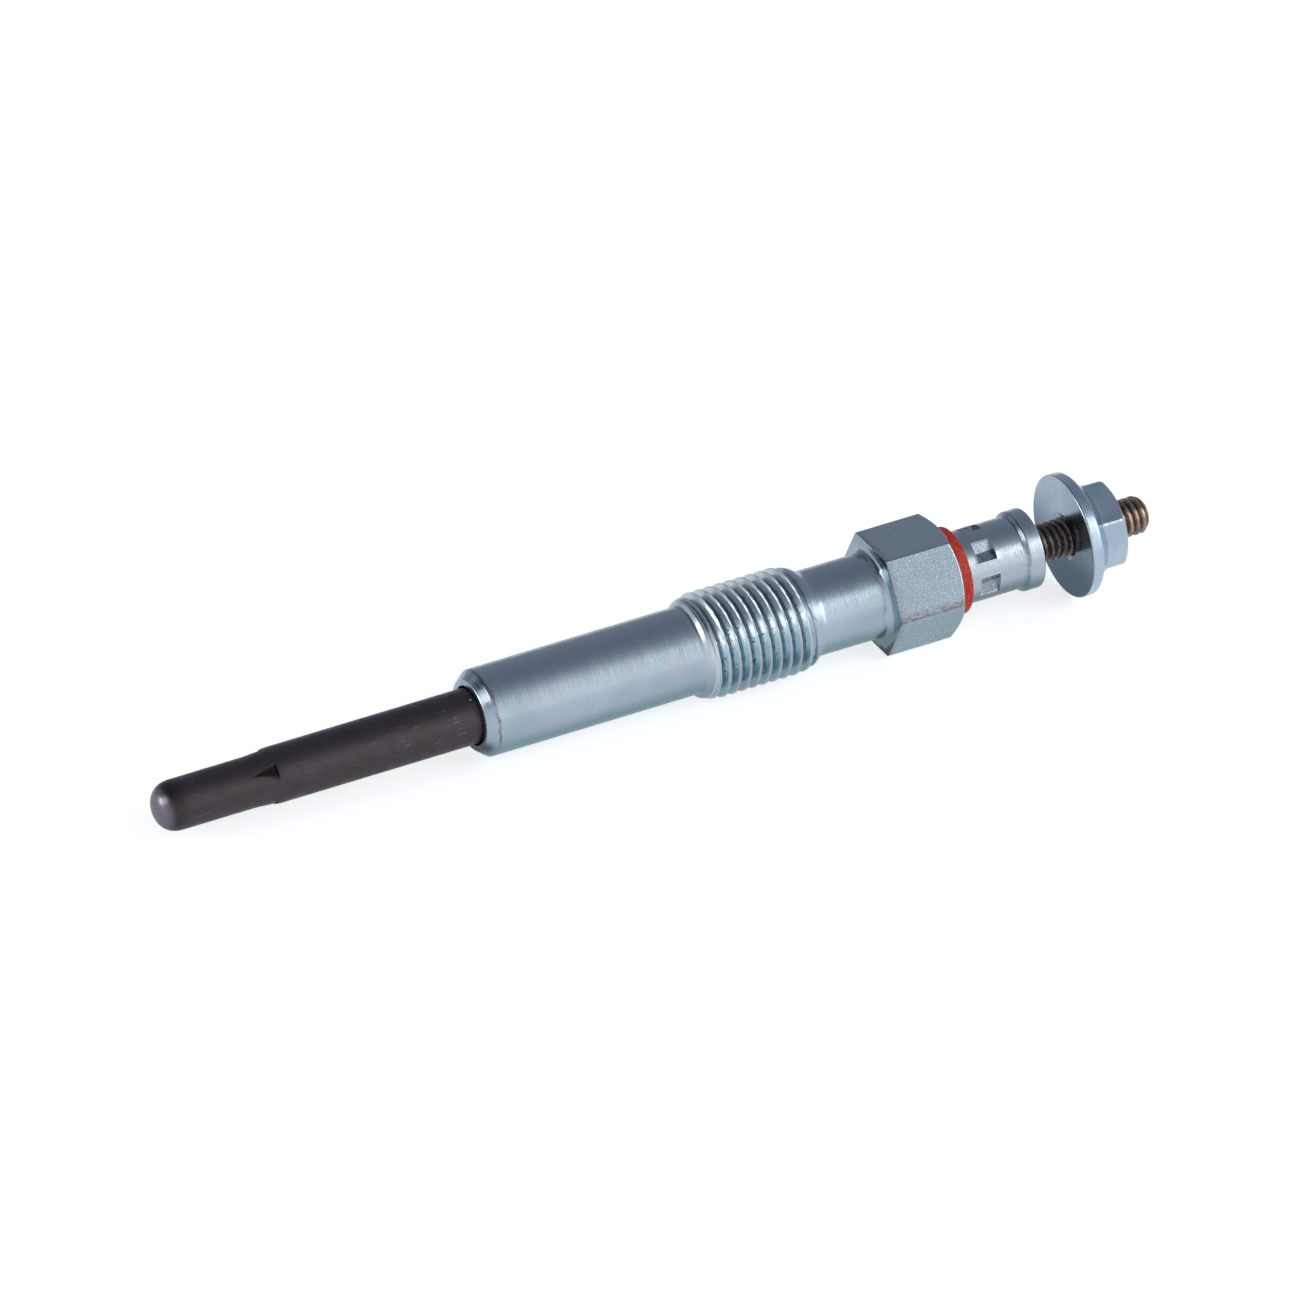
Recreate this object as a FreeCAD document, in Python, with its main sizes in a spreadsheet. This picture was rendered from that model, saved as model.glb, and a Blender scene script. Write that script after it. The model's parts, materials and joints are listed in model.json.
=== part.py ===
import FreeCAD, Part
import math
import os
import Sketcher

# Diesel glow plug, lying at rest on a level surface.
# The plug's axis is the bodies' own X axis. Along it, 0 is the apex of the glow tube and plus is
# towards the terminal stud. Every body gets the same placement, which lays the plug down on the
# front edge of its thread and the rim of its nut.

SIZES = [
    # Glow tube, the swaged and closed sheath that reaches into the chamber
    ("rod_reach", "38.0"),  # apex to the front face of the housing
    ("rod_diameter", "6.2"),
    ("tip_diameter", "5.6"),
    ("tip_length", "11.9"),  # apex to the start of the swaged step
    ("swage_length", "2.3"),
    ("mark_front", "10.6"),  # apex to the point of the flats left between the swaging jaws
    ("mark_length", "3.0"),
    ("mark_depth", "0.27"),
    ("mark_count", "4"),
    ("mark_roll", "50"),  # degrees, from straight up
    ("tube_wall", "0.75"),
    ("tip_wall", "1.8"),
    ("tube_depth", "22.2"),  # length of tube inside the housing
    # Coils inside the glow tube
    ("wire_flats", "0.5"),  # across the flats of the wire
    ("coil_radius", "1.35"),  # axis to the middle of the wire
    ("coil_front", "2.7"),
    ("heating_pitch", "3.5"),
    ("heating_turns", "3"),
    ("regulating_pitch", "5.45"),
    ("regulating_turns", "3"),
    ("weld_gap", "0.02"),
    # Seal in the mouth of the glow tube
    ("tube_seal_length", "3.2"),
    # Housing, turned from one hexagonal bar
    ("nose_diameter", "7.9"),
    ("nose_chamfer", "1.1"),
    ("recess_diameter", "6.66"),
    ("recess_depth", "2.0"),
    ("seat_length", "14.0"),  # where the glow tube is pressed in
    ("cavity_diameter", "6.8"),
    ("shank_diameter", "9.7"),
    ("shank_length", "28.1"),  # front face to the first full thread
    ("lead_length", "2.05"),
    ("lead_step", "0.5"),  # steep front part of the lead
    ("lead_diameter", "10.8"),  # where the steep part ends
    ("thread_diameter", "11.76"),
    ("thread_length", "10.0"),
    ("runout_length", "2.5"),
    ("runout_slope", "1.5"),  # gentle front part of the run-out
    ("runout_diameter", "11.0"),  # where the gentle part ends
    ("neck_diameter", "9.44"),
    ("neck_length", "10.6"),
    ("neck_root", "0.7"),
    ("hex_flats", "12.0"),
    ("hex_length", "8.5"),
    ("hex_crown_diameter", "10.8"),  # round face left by the crown chamfer
    ("crown_angle", "30"),  # degrees, hexagon and nut alike
    ("seal_bore_diameter", "7.8"),
    ("seal_bore_depth", "6.2"),
    # Centre electrode and terminal thread, one rod
    ("spigot_length", "5.0"),
    ("electrode_diameter", "3.2"),
    ("electrode_shoulder", "1.2"),
    ("shoulder_lead", "2.4"),  # shoulder's rear edge to the floor of the seal bore
    ("terminal_diameter", "4.2"),
    ("stud_beyond_nut", "4.2"),
    ("stud_point_length", "0.7"),
    ("stud_point_diameter", "3.0"),
    ("slip_gap", "0.05"),
    # Body seal and insulating washer in the rear of the housing
    ("body_seal_length", "2.2"),
    ("washer_diameter", "9.7"),
    ("washer_thickness", "1.4"),
    ("washer_edge", "0.2"),
    # Crimped sleeve that holds the washer down
    ("sleeve_diameter", "8.0"),
    ("sleeve_length", "9.0"),
    ("collar_diameter", "8.86"),
    ("collar_length", "1.65"),
    ("collar_slope", "0.45"),
    ("crimp_front", "1.35"),
    ("crimp_length", "2.3"),
    ("crimp_width", "2.4"),
    ("crimp_edge_depth", "0.3"),
    ("crimp_middle_depth", "0.72"),
    ("crimp_count", "6"),
    ("crimp_roll", "39.4"),  # degrees, from straight up
    # Flange nut, screwed part of the way down
    ("terminal_gap", "4.5"),  # sleeve to nut, where the cable's ring goes
    ("nut_height", "5.5"),
    ("nut_flats", "9.2"),
    ("nut_roll", "25.8"),  # degrees, from straight up
    ("nut_crown_diameter", "8.9"),
    ("flange_diameter", "13.7"),
    ("flange_rim", "1.25"),
    ("flange_slope", "36.8"),  # degrees, back of the flange
    ("countersink", "0.5"),
]

doc = FreeCAD.newDocument("glow_plug")
sheet = doc.addObject("Spreadsheet::Sheet", "Sizes")
for row, (alias, value) in enumerate(SIZES, start=1):
    sheet.set(f"A{row}", alias)
    sheet.set(f"B{row}", value)
    sheet.setAlias(f"B{row}", alias)
doc.recompute()


def size(alias):
    """The sheet's cell as it is written in an expression."""
    return f"Sizes.{alias}"


def half(alias):
    """Half of a size, such as the radius of a diameter."""
    return f"(Sizes.{alias} / 2)"


def total(*parts):
    """The sum of several expressions, as one expression."""
    return "(" + " + ".join(parts) + ")"


# Stations along the axis, in the order in which the pieces follow each other
FACE = size("rod_reach")
TUBE_END = total(FACE, size("tube_depth"))
TUBE_SEAL_FRONT = f"({TUBE_END} - Sizes.tube_seal_length)"
COIL_JOINT = "(Sizes.coil_front + Sizes.heating_turns * Sizes.heating_pitch)"
COIL_END = f"({COIL_JOINT} + Sizes.regulating_turns * Sizes.regulating_pitch)"
RECESS_END = total(FACE, size("recess_depth"))
SEAT_END = total(RECESS_END, size("seat_length"))
THREAD_FRONT = total(FACE, size("shank_length"))
THREAD_BACK = total(THREAD_FRONT, size("thread_length"))
HEX_FRONT = total(THREAD_BACK, size("neck_length"))
HEX_BACK = total(HEX_FRONT, size("hex_length"))
SEAL_FLOOR = f"({HEX_BACK} - Sizes.seal_bore_depth)"
BODY_SEAL_BACK = total(SEAL_FLOOR, size("body_seal_length"))
WASHER_BACK = total(HEX_BACK, size("washer_thickness"))
SLEEVE_BACK = total(WASHER_BACK, size("sleeve_length"))
NUT_FRONT = total(SLEEVE_BACK, size("terminal_gap"))
NUT_BACK = total(NUT_FRONT, size("nut_height"))
STUD_END = total(NUT_BACK, size("stud_beyond_nut"))

# Radii that more than one piece uses
TIP_BORE = "(Sizes.tip_diameter / 2 - Sizes.tube_wall)"
ROD_BORE = "(Sizes.rod_diameter / 2 - Sizes.tube_wall)"
COIL_INSIDE = "(Sizes.coil_radius - Sizes.wire_flats / 2)"
COIL_OUTSIDE = "(Sizes.coil_radius + Sizes.wire_flats / 2 + Sizes.weld_gap)"
SPIGOT = f"({COIL_INSIDE} - Sizes.weld_gap)"
TERMINAL_HOLE = "(Sizes.terminal_diameter / 2 + Sizes.slip_gap)"

# The two edges that the plug lies on give its tilt and its height
REST_RISE = f"({half('flange_diameter')} - {half('thread_diameter')})"
REST_TILT = f"atan({REST_RISE} / ({NUT_FRONT} - {THREAD_FRONT}))"
REST_LEFT = f"({half('tip_diameter')} * (cos({REST_TILT}) - 1))"
REST_RIGHT = f"({STUD_END} * cos({REST_TILT}) + {half('stud_point_diameter')} * sin({REST_TILT}))"
REST_HEIGHT = f"({half('thread_diameter')} * cos({REST_TILT}) - {THREAD_FRONT} * sin({REST_TILT}))"


def new_body(label):
    """An empty body that lies in the plug's rest position."""
    body = doc.addObject("PartDesign::Body", label)
    body.Label = label
    body.Placement = FreeCAD.Placement(
        FreeCAD.Vector(0, 0, 0), FreeCAD.Rotation(FreeCAD.Vector(0, -1, 0), 1)
    )
    body.setExpression(".Placement.Rotation.Angle", REST_TILT)
    body.setExpression(".Placement.Base.x", f"-({REST_LEFT} + {REST_RIGHT}) / 2")
    body.setExpression(".Placement.Base.z", REST_HEIGHT)
    return body


def origin_feature(body, role):
    """The body's own plane or axis of that role."""
    for feature in body.Origin.OriginFeatures:
        if feature.Role == role:
            return feature
    raise ValueError(role)


def new_sketch(body, name, plane, offset=None, roll=None):
    """A sketch on one of the body's planes, moved along its normal and turned in its plane."""
    sketch = body.newObject("Sketcher::SketchObject", name)
    sketch.AttachmentSupport = (origin_feature(body, plane), "")
    sketch.MapMode = "FlatFace"
    if roll is not None:
        sketch.AttachmentOffset = FreeCAD.Placement(
            FreeCAD.Vector(0, 0, 0), FreeCAD.Rotation(FreeCAD.Vector(0, 0, 1), 1)
        )
        sketch.setExpression(".AttachmentOffset.Rotation.Angle", roll)
    if offset is not None:
        sketch.setExpression(".AttachmentOffset.Base.z", offset)
    return sketch


def bind(sketch, kind, geometry, point, expression):
    """Hold a point's distance from the sketch's origin at the expression's value."""
    value = float(sketch.evalExpression(expression))
    index = sketch.addConstraint(Sketcher.Constraint(kind, -1, 1, geometry, point, value))
    sketch.setExpression(f"Constraints[{index}]", expression)


def outline(sketch, corners, fixed_centre=None):
    """
    A closed outline through the corners, each a pair of expressions (across, up).
    A corner on a sketch axis has "0". fixed_centre is (corner number, across): the edge that
    leaves that corner is an arc whose centre lies on the sketch's horizontal axis.
    """
    points = [
        FreeCAD.Vector(float(sketch.evalExpression(a)), float(sketch.evalExpression(b)), 0)
        for a, b in corners
    ]
    count = len(points)
    ends = []
    for number, start in enumerate(points):
        stop = points[(number + 1) % count]
        if fixed_centre is not None and number == fixed_centre[0]:
            centre = FreeCAD.Vector(float(sketch.evalExpression(fixed_centre[1])), 0, 0)
            circle = Part.Circle(centre, FreeCAD.Vector(0, 0, 1), (start - centre).Length)
            high = math.atan2(start.y - centre.y, start.x - centre.x)
            low = math.atan2(stop.y - centre.y, stop.x - centre.x)
            edge = sketch.addGeometry(Part.ArcOfCircle(circle, low, high), False)
            bind(sketch, "DistanceX", edge, 3, fixed_centre[1])
            sketch.addConstraint(Sketcher.Constraint("PointOnObject", edge, 3, -1))
            ends.append((edge, 2, 1))
        else:
            edge = sketch.addGeometry(Part.LineSegment(start, stop), False)
            ends.append((edge, 1, 2))
    for number in range(count):
        edge, first, last = ends[number]
        next_edge, next_first, next_last = ends[(number + 1) % count]
        sketch.addConstraint(Sketcher.Constraint("Coincident", edge, last, next_edge, next_first))
    arc_corner = None if fixed_centre is None else (fixed_centre[0] + 1) % count
    for number, (across, up) in enumerate(corners):
        edge, first, last = ends[number]
        if across == "0":
            sketch.addConstraint(Sketcher.Constraint("PointOnObject", edge, first, -2))
        else:
            bind(sketch, "DistanceX", edge, first, across)
        if up == "0":
            sketch.addConstraint(Sketcher.Constraint("PointOnObject", edge, first, -1))
        elif number != arc_corner:
            bind(sketch, "DistanceY", edge, first, up)
    return sketch


def turn(body, name, corners, cut=False, fixed_centre=None):
    """Turn a half-section about the plug's axis, as metal or as a cut."""
    sketch = new_sketch(body, name + "_section", "XZ_Plane")
    outline(sketch, corners, fixed_centre)
    kind = "PartDesign::Groove" if cut else "PartDesign::Revolution"
    feature = body.newObject(kind, name)
    feature.Profile = sketch
    feature.ReferenceAxis = (sketch, ["H_Axis"])
    feature.Angle = 360
    doc.recompute()
    return feature


def pattern(body, name, feature, count):
    """Repeat a feature evenly round the plug's axis."""
    repeat = body.newObject("PartDesign::PolarPattern", name)
    repeat.Originals = [feature]
    repeat.Axis = (origin_feature(body, "X_Axis"), [""])
    repeat.Angle = 360
    repeat.setExpression("Occurrences", count)
    body.Tip = repeat
    doc.recompute()
    return repeat


def hexagon(body, name, station, flats, length, roll):
    """Pad a hexagonal prism along the axis; roll turns one flat away from straight up."""
    sketch = new_sketch(body, name + "_section", "YZ_Plane", offset=station, roll=roll)
    radius = float(sketch.evalExpression(flats)) / math.sqrt(3)
    centre = FreeCAD.Vector(0, 0, 0)
    normal = FreeCAD.Vector(0, 0, 1)
    turns = [FreeCAD.Rotation(normal, 60 * n) for n in range(1, 7)]
    corners = [turn_by.multVec(FreeCAD.Vector(radius, 0, 0)) for turn_by in turns]
    for n in range(6):
        sketch.addGeometry(Part.LineSegment(corners[n], corners[(n + 1) % 6]), False)
    circle = sketch.addGeometry(Part.Circle(centre, normal, radius), True)
    sketch.addConstraint(Sketcher.Constraint("Coincident", circle, 3, -1, 1))
    for n in range(6):
        sketch.addConstraint(Sketcher.Constraint("Coincident", n, 2, (n + 1) % 6, 1))
    for n in range(6):
        sketch.addConstraint(Sketcher.Constraint("PointOnObject", n, 1, circle))
    for n in range(1, 6):
        sketch.addConstraint(Sketcher.Constraint("Equal", 0, n))
    sketch.addConstraint(Sketcher.Constraint("Horizontal", 0))
    bind(sketch, "DistanceY", 0, 1, f"{flats} / 2")
    pad = body.newObject("PartDesign::Pad", name)
    pad.Profile = sketch
    pad.setExpression("Length", length)
    doc.recompute()
    return pad


def crown(body, name, station, crown_radius, flats):
    """Cut the corners of a hexagon back to a cone that starts at a round end face."""
    past_corners = f"({flats} * 0.6)"
    foot = f"({station} - ({past_corners} - {crown_radius}) * tan(Sizes.crown_angle))"
    section = [(station, crown_radius), (station, past_corners), (foot, past_corners)]
    return turn(body, name, section, cut=True)


def bevel_rim(body, name, width, station, edge_radius):
    """Bevel the circular edge of one radius at one station along the axis."""
    base = body.Tip
    x = float(base.evalExpression(station))
    r = float(base.evalExpression(edge_radius))
    rims = []
    for number, edge in enumerate(base.Shape.Edges, start=1):
        if isinstance(edge.Curve, Part.Circle):
            if math.isclose(edge.Curve.Radius, r, abs_tol=1e-4):
                if math.isclose(edge.Curve.Center.x, x, abs_tol=1e-4):
                    rims.append(f"Edge{number}")
    bevel = body.newObject("PartDesign::Chamfer", name)
    bevel.Base = (base, rims)
    bevel.setExpression("Size", width)
    doc.recompute()
    return bevel


def wire_section(sketch, across, up):
    """The hexagonal section of a wire, centred on the two expressions, with a flat towards the axis."""
    corner = "(Sizes.wire_flats / sqrt(3))"
    flat = half("wire_flats")
    outline(
        sketch,
        [
            (f"({across} - {corner} / 2)", f"({up} - {flat})"),
            (f"({across} + {corner} / 2)", f"({up} - {flat})"),
            (f"({across} + {corner})", up),
            (f"({across} + {corner} / 2)", f"({up} + {flat})"),
            (f"({across} - {corner} / 2)", f"({up} + {flat})"),
            (f"({across} - {corner})", up),
        ],
    )


def wind(body, name, start, turns, pitch, first_turn):
    """Wind one coil of wire; first_turn is how many turns lie in front of it."""
    sketch = new_sketch(body, name + "_wire", "XZ_Plane")
    sketch.AttachmentOffset = FreeCAD.Placement(
        FreeCAD.Vector(0, 0, 0), FreeCAD.Rotation(FreeCAD.Vector(1, 0, 0), 1)
    )
    sketch.setExpression(".AttachmentOffset.Rotation.Angle", f"{first_turn} * 360")
    wire_section(sketch, start, size("coil_radius"))
    helix = body.newObject("PartDesign::AdditiveHelix", name)
    helix.Profile = sketch
    helix.ReferenceAxis = (sketch, ["H_Axis"])
    helix.Mode = "pitch-turns-angle"
    helix.setExpression("Pitch", pitch)
    helix.setExpression("Turns", turns)
    doc.recompute()
    return helix


# Glow tube: drawn sheath with a round closed tip, swaged down over the heating coil
glow_tube = new_body("glow_tube")
SWAGE_END = total(size("tip_length"), size("swage_length"))
turn(
    glow_tube,
    "sheath",
    [
        ("0", "0"),
        (half("tip_diameter"), half("tip_diameter")),
        (size("tip_length"), half("tip_diameter")),
        (SWAGE_END, half("rod_diameter")),
        (TUBE_END, half("rod_diameter")),
        (TUBE_END, ROD_BORE),
        (SWAGE_END, ROD_BORE),
        (size("tip_length"), TIP_BORE),
        (size("tip_wall"), TIP_BORE),
        (size("tip_wall"), "0"),
    ],
    fixed_centre=(0, half("tip_diameter")),
)
mark_sketch = new_sketch(glow_tube, "swage_mark_section", "XZ_Plane")
mark_sketch.AttachmentOffset = FreeCAD.Placement(
    FreeCAD.Vector(0, 0, 0), FreeCAD.Rotation(FreeCAD.Vector(1, 0, 0), 1)
)
mark_sketch.setExpression(".AttachmentOffset.Rotation.Angle", size("mark_roll"))
MARK_BACK = total(size("mark_front"), size("mark_length"))
outline(
    mark_sketch,
    [
        (size("mark_front"), half("tip_diameter")),
        (MARK_BACK, f"({half('rod_diameter')} - Sizes.mark_depth)"),
        (MARK_BACK, size("rod_diameter")),
        (size("mark_front"), size("rod_diameter")),
    ],
)
mark = glow_tube.newObject("PartDesign::Pocket", "swage_mark")
mark.Profile = mark_sketch
mark.SideType = "Symmetric"
mark.setExpression("Length", size("rod_diameter"))
doc.recompute()
pattern(glow_tube, "swage_marks", mark, size("mark_count"))

# Heating coil, welded to the closed tip by its straight tail, and the regulating coil behind it
heating_coil = new_body("heating_coil")
wind(
    heating_coil,
    "heating_winding",
    size("coil_front"),
    size("heating_turns"),
    size("heating_pitch"),
    "0",
)
tail_sketch = new_sketch(heating_coil, "tip_tail_section", "YZ_Plane", offset=size("coil_front"))
wire_section(tail_sketch, "0", size("coil_radius"))
tail = heating_coil.newObject("PartDesign::Pad", "tip_tail")
tail.Profile = tail_sketch
tail.Reversed = True
tail.setExpression("Length", "Sizes.coil_front - Sizes.tip_wall")
doc.recompute()

regulating_coil = new_body("regulating_coil")
wind(
    regulating_coil,
    "regulating_winding",
    COIL_JOINT,
    size("regulating_turns"),
    size("regulating_pitch"),
    size("heating_turns"),
)

# Magnesia: pressed powder that fills the tube. The coils lie in one plain ring-shaped channel.
magnesia = new_body("magnesia_filling")
CHANNEL_FRONT = "(Sizes.coil_front - Sizes.wire_flats)"
SPIGOT_FRONT = f"({COIL_END} - Sizes.spigot_length)"
ROD_FRONT = total(COIL_END, size("wire_flats"))
turn(
    magnesia,
    "powder",
    [
        (size("tip_wall"), "0"),
        (size("tip_wall"), TIP_BORE),
        (size("tip_length"), TIP_BORE),
        (SWAGE_END, ROD_BORE),
        (TUBE_SEAL_FRONT, ROD_BORE),
        (TUBE_SEAL_FRONT, half("electrode_diameter")),
        (ROD_FRONT, half("electrode_diameter")),
        (ROD_FRONT, COIL_OUTSIDE),
        (CHANNEL_FRONT, COIL_OUTSIDE),
        (CHANNEL_FRONT, SPIGOT),
        (SPIGOT_FRONT, SPIGOT),
        (SPIGOT_FRONT, "0"),
    ],
)
tail_hole_sketch = new_sketch(magnesia, "tail_hole_section", "YZ_Plane", offset=CHANNEL_FRONT)
wire_section(tail_hole_sketch, "0", size("coil_radius"))
tail_hole = magnesia.newObject("PartDesign::Pocket", "tail_hole")
tail_hole.Profile = tail_hole_sketch
tail_hole.setExpression("Length", f"{CHANNEL_FRONT} - Sizes.tip_wall")
doc.recompute()

# Rubber seal that closes the mouth of the glow tube
tube_seal = new_body("tube_seal")
turn(
    tube_seal,
    "tube_seal_ring",
    [
        (TUBE_SEAL_FRONT, half("electrode_diameter")),
        (TUBE_SEAL_FRONT, ROD_BORE),
        (TUBE_END, ROD_BORE),
        (TUBE_END, half("electrode_diameter")),
    ],
)

# Housing: shank, thread, neck and hexagon in one turned piece
housing = new_body("housing")
NOSE_BACK = total(FACE, size("nose_chamfer"))
LEAD_FRONT = f"({THREAD_FRONT} - Sizes.lead_length)"
RUNOUT_BACK = total(THREAD_BACK, size("runout_length"))
turn(
    housing,
    "turned_blank",
    [
        (FACE, "0"),
        (FACE, half("nose_diameter")),
        (NOSE_BACK, half("shank_diameter")),
        (LEAD_FRONT, half("shank_diameter")),
        (total(LEAD_FRONT, size("lead_step")), half("lead_diameter")),
        (THREAD_FRONT, half("thread_diameter")),
        (THREAD_BACK, half("thread_diameter")),
        (total(THREAD_BACK, size("runout_slope")), half("runout_diameter")),
        (RUNOUT_BACK, half("neck_diameter")),
        (HEX_BACK, half("neck_diameter")),
        (HEX_BACK, "0"),
    ],
)
hexagon(housing, "hexagon", HEX_FRONT, size("hex_flats"), size("hex_length"), "0")
crown(housing, "hexagon_crown", HEX_BACK, half("hex_crown_diameter"), size("hex_flats"))
bevel_rim(housing, "neck_root", size("neck_root"), HEX_FRONT, half("neck_diameter"))
turn(
    housing,
    "through_bore",
    [
        (FACE, "0"),
        (FACE, half("recess_diameter")),
        (RECESS_END, half("recess_diameter")),
        (RECESS_END, half("rod_diameter")),
        (SEAT_END, half("rod_diameter")),
        (SEAT_END, half("cavity_diameter")),
        (SEAL_FLOOR, half("cavity_diameter")),
        (SEAL_FLOOR, half("seal_bore_diameter")),
        (HEX_BACK, half("seal_bore_diameter")),
        (HEX_BACK, "0"),
    ],
    cut=True,
)

# Terminal stud: electrode spigot, electrode and terminal thread in one rod
terminal_stud = new_body("terminal_stud")
SHOULDER_BACK = f"({SEAL_FLOOR} - Sizes.shoulder_lead)"
SHOULDER_FRONT = f"({SHOULDER_BACK} - Sizes.electrode_shoulder)"
turn(
    terminal_stud,
    "electrode_rod",
    [
        (SPIGOT_FRONT, "0"),
        (SPIGOT_FRONT, SPIGOT),
        (ROD_FRONT, SPIGOT),
        (ROD_FRONT, half("electrode_diameter")),
        (SHOULDER_FRONT, half("electrode_diameter")),
        (SHOULDER_BACK, half("terminal_diameter")),
        (f"({STUD_END} - Sizes.stud_point_length)", half("terminal_diameter")),
        (STUD_END, half("stud_point_diameter")),
        (STUD_END, "0"),
    ],
)

# Body seal: rubber ring squeezed between the stud and the bore of the hexagon
body_seal = new_body("body_seal")
turn(
    body_seal,
    "body_seal_ring",
    [
        (SEAL_FLOOR, half("terminal_diameter")),
        (SEAL_FLOOR, half("seal_bore_diameter")),
        (BODY_SEAL_BACK, half("seal_bore_diameter")),
        (BODY_SEAL_BACK, half("terminal_diameter")),
    ],
)

# Insulating washer: moulded flange with a spigot that centres it in the seal bore
washer = new_body("insulating_washer")
WASHER_SPIGOT = "(Sizes.seal_bore_diameter / 2 - Sizes.slip_gap)"
turn(
    washer,
    "washer_section",
    [
        (BODY_SEAL_BACK, TERMINAL_HOLE),
        (BODY_SEAL_BACK, WASHER_SPIGOT),
        (HEX_BACK, WASHER_SPIGOT),
        (HEX_BACK, half("washer_diameter")),
        (f"({WASHER_BACK} - Sizes.washer_edge)", half("washer_diameter")),
        (WASHER_BACK, f"({half('washer_diameter')} - Sizes.washer_edge)"),
        (WASHER_BACK, TERMINAL_HOLE),
    ],
)

# Crimped sleeve: turned bush with a collar, staked on the stud by six square punch marks
sleeve = new_body("crimp_sleeve")
COLLAR_FRONT = f"({SLEEVE_BACK} - Sizes.collar_length)"
SLOPE_FRONT = f"({COLLAR_FRONT} - Sizes.collar_slope)"
turn(
    sleeve,
    "sleeve_section",
    [
        (WASHER_BACK, TERMINAL_HOLE),
        (WASHER_BACK, half("sleeve_diameter")),
        (SLOPE_FRONT, half("sleeve_diameter")),
        (COLLAR_FRONT, half("collar_diameter")),
        (SLEEVE_BACK, half("collar_diameter")),
        (SLEEVE_BACK, TERMINAL_HOLE),
    ],
)
CRIMP_START = total(WASHER_BACK, size("crimp_front"))
crimp_sketch = new_sketch(
    sleeve, "crimp_section", "YZ_Plane", offset=CRIMP_START, roll=size("crimp_roll")
)
outline(
    crimp_sketch,
    [
        ("(-Sizes.crimp_width / 2)", "(Sizes.sleeve_diameter / 2 - Sizes.crimp_edge_depth)"),
        ("0", "(Sizes.sleeve_diameter / 2 - Sizes.crimp_middle_depth)"),
        (half("crimp_width"), "(Sizes.sleeve_diameter / 2 - Sizes.crimp_edge_depth)"),
        (half("crimp_width"), size("sleeve_diameter")),
        ("(-Sizes.crimp_width / 2)", size("sleeve_diameter")),
    ],
)
crimp = sleeve.newObject("PartDesign::Pocket", "crimp")
crimp.Profile = crimp_sketch
crimp.Reversed = True
crimp.setExpression("Length", size("crimp_length"))
doc.recompute()
pattern(sleeve, "crimps", crimp, size("crimp_count"))

# Flange nut: washer face towards the sleeve, conical back, crowned hexagon
nut = new_body("flange_nut")
RIM_BACK = total(NUT_FRONT, size("flange_rim"))
NUT_CORE = half("nut_flats")
CONE_BACK = f"({RIM_BACK} + ({half('flange_diameter')} - {NUT_CORE}) * tan(Sizes.flange_slope))"
turn(
    nut,
    "flange",
    [
        (NUT_FRONT, "0"),
        (NUT_FRONT, half("flange_diameter")),
        (RIM_BACK, half("flange_diameter")),
        (CONE_BACK, NUT_CORE),
        (CONE_BACK, "0"),
    ],
)
hexagon(
    nut,
    "nut_hexagon",
    RIM_BACK,
    size("nut_flats"),
    "Sizes.nut_height - Sizes.flange_rim",
    size("nut_roll"),
)
crown(nut, "nut_crown", NUT_BACK, half("nut_crown_diameter"), size("nut_flats"))
turn(
    nut,
    "nut_hole",
    [
        (NUT_FRONT, "0"),
        (NUT_FRONT, f"({TERMINAL_HOLE} + Sizes.countersink)"),
        (total(NUT_FRONT, size("countersink")), TERMINAL_HOLE),
        (f"({NUT_BACK} - Sizes.countersink)", TERMINAL_HOLE),
        (NUT_BACK, f"({TERMINAL_HOLE} + Sizes.countersink)"),
        (NUT_BACK, "0"),
    ],
    cut=True,
)

# Recompute, check every object and write each piece to its own file
doc.recompute()
for item in doc.Objects:
    if "Invalid" in item.State or "Error" in item.State:
        raise RuntimeError(f"{item.Label} did not compute")
bodies = [item for item in doc.Objects if item.TypeId == "PartDesign::Body"]
for body in bodies:
    if body.Shape.isNull() or not body.Shape.isValid():
        raise RuntimeError(f"{body.Label} has no valid shape")
os.makedirs("parts", exist_ok=True)
for body in bodies:
    body.Shape.exportStep(f"parts/{body.Label}.step")
    print(f"{body.Label}: {len(body.Shape.Solids)} solid, {body.Shape.Volume:.2f} cubic mm")
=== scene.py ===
"""Dressed model of a diesel glow plug that lies at rest on a pale floor.

Lengths in this file are millimetres unless a name says otherwise, and angles are radians. A piece is
described in the plug's own frame: the station along the axis from the apex of the glow tube, the
radius, and the roll round the axis, which is 0 straight up and grows towards the near side.
"""
import json
import logging
import math
from dataclasses import dataclass, field
from enum import Enum, IntEnum
from typing import Any, ClassVar

import bpy
import numpy as np
from mathutils import Matrix, Vector


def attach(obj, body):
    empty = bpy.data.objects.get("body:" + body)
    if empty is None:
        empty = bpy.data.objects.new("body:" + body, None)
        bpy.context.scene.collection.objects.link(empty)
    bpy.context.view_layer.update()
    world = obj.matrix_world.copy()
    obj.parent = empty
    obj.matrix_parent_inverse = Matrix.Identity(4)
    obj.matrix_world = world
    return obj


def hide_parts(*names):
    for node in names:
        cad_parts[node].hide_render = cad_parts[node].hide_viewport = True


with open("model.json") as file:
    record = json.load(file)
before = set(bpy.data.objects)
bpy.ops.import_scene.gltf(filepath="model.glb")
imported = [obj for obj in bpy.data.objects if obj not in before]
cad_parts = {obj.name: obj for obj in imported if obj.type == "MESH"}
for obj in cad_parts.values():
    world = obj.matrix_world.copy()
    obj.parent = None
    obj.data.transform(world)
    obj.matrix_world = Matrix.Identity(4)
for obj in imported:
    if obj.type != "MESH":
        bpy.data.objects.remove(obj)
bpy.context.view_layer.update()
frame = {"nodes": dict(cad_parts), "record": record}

MM = 0.001
TURN = 2 * math.pi
THREAD_MIDDLE = 71.1  # mm from the apex to the middle of the full thread
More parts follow.
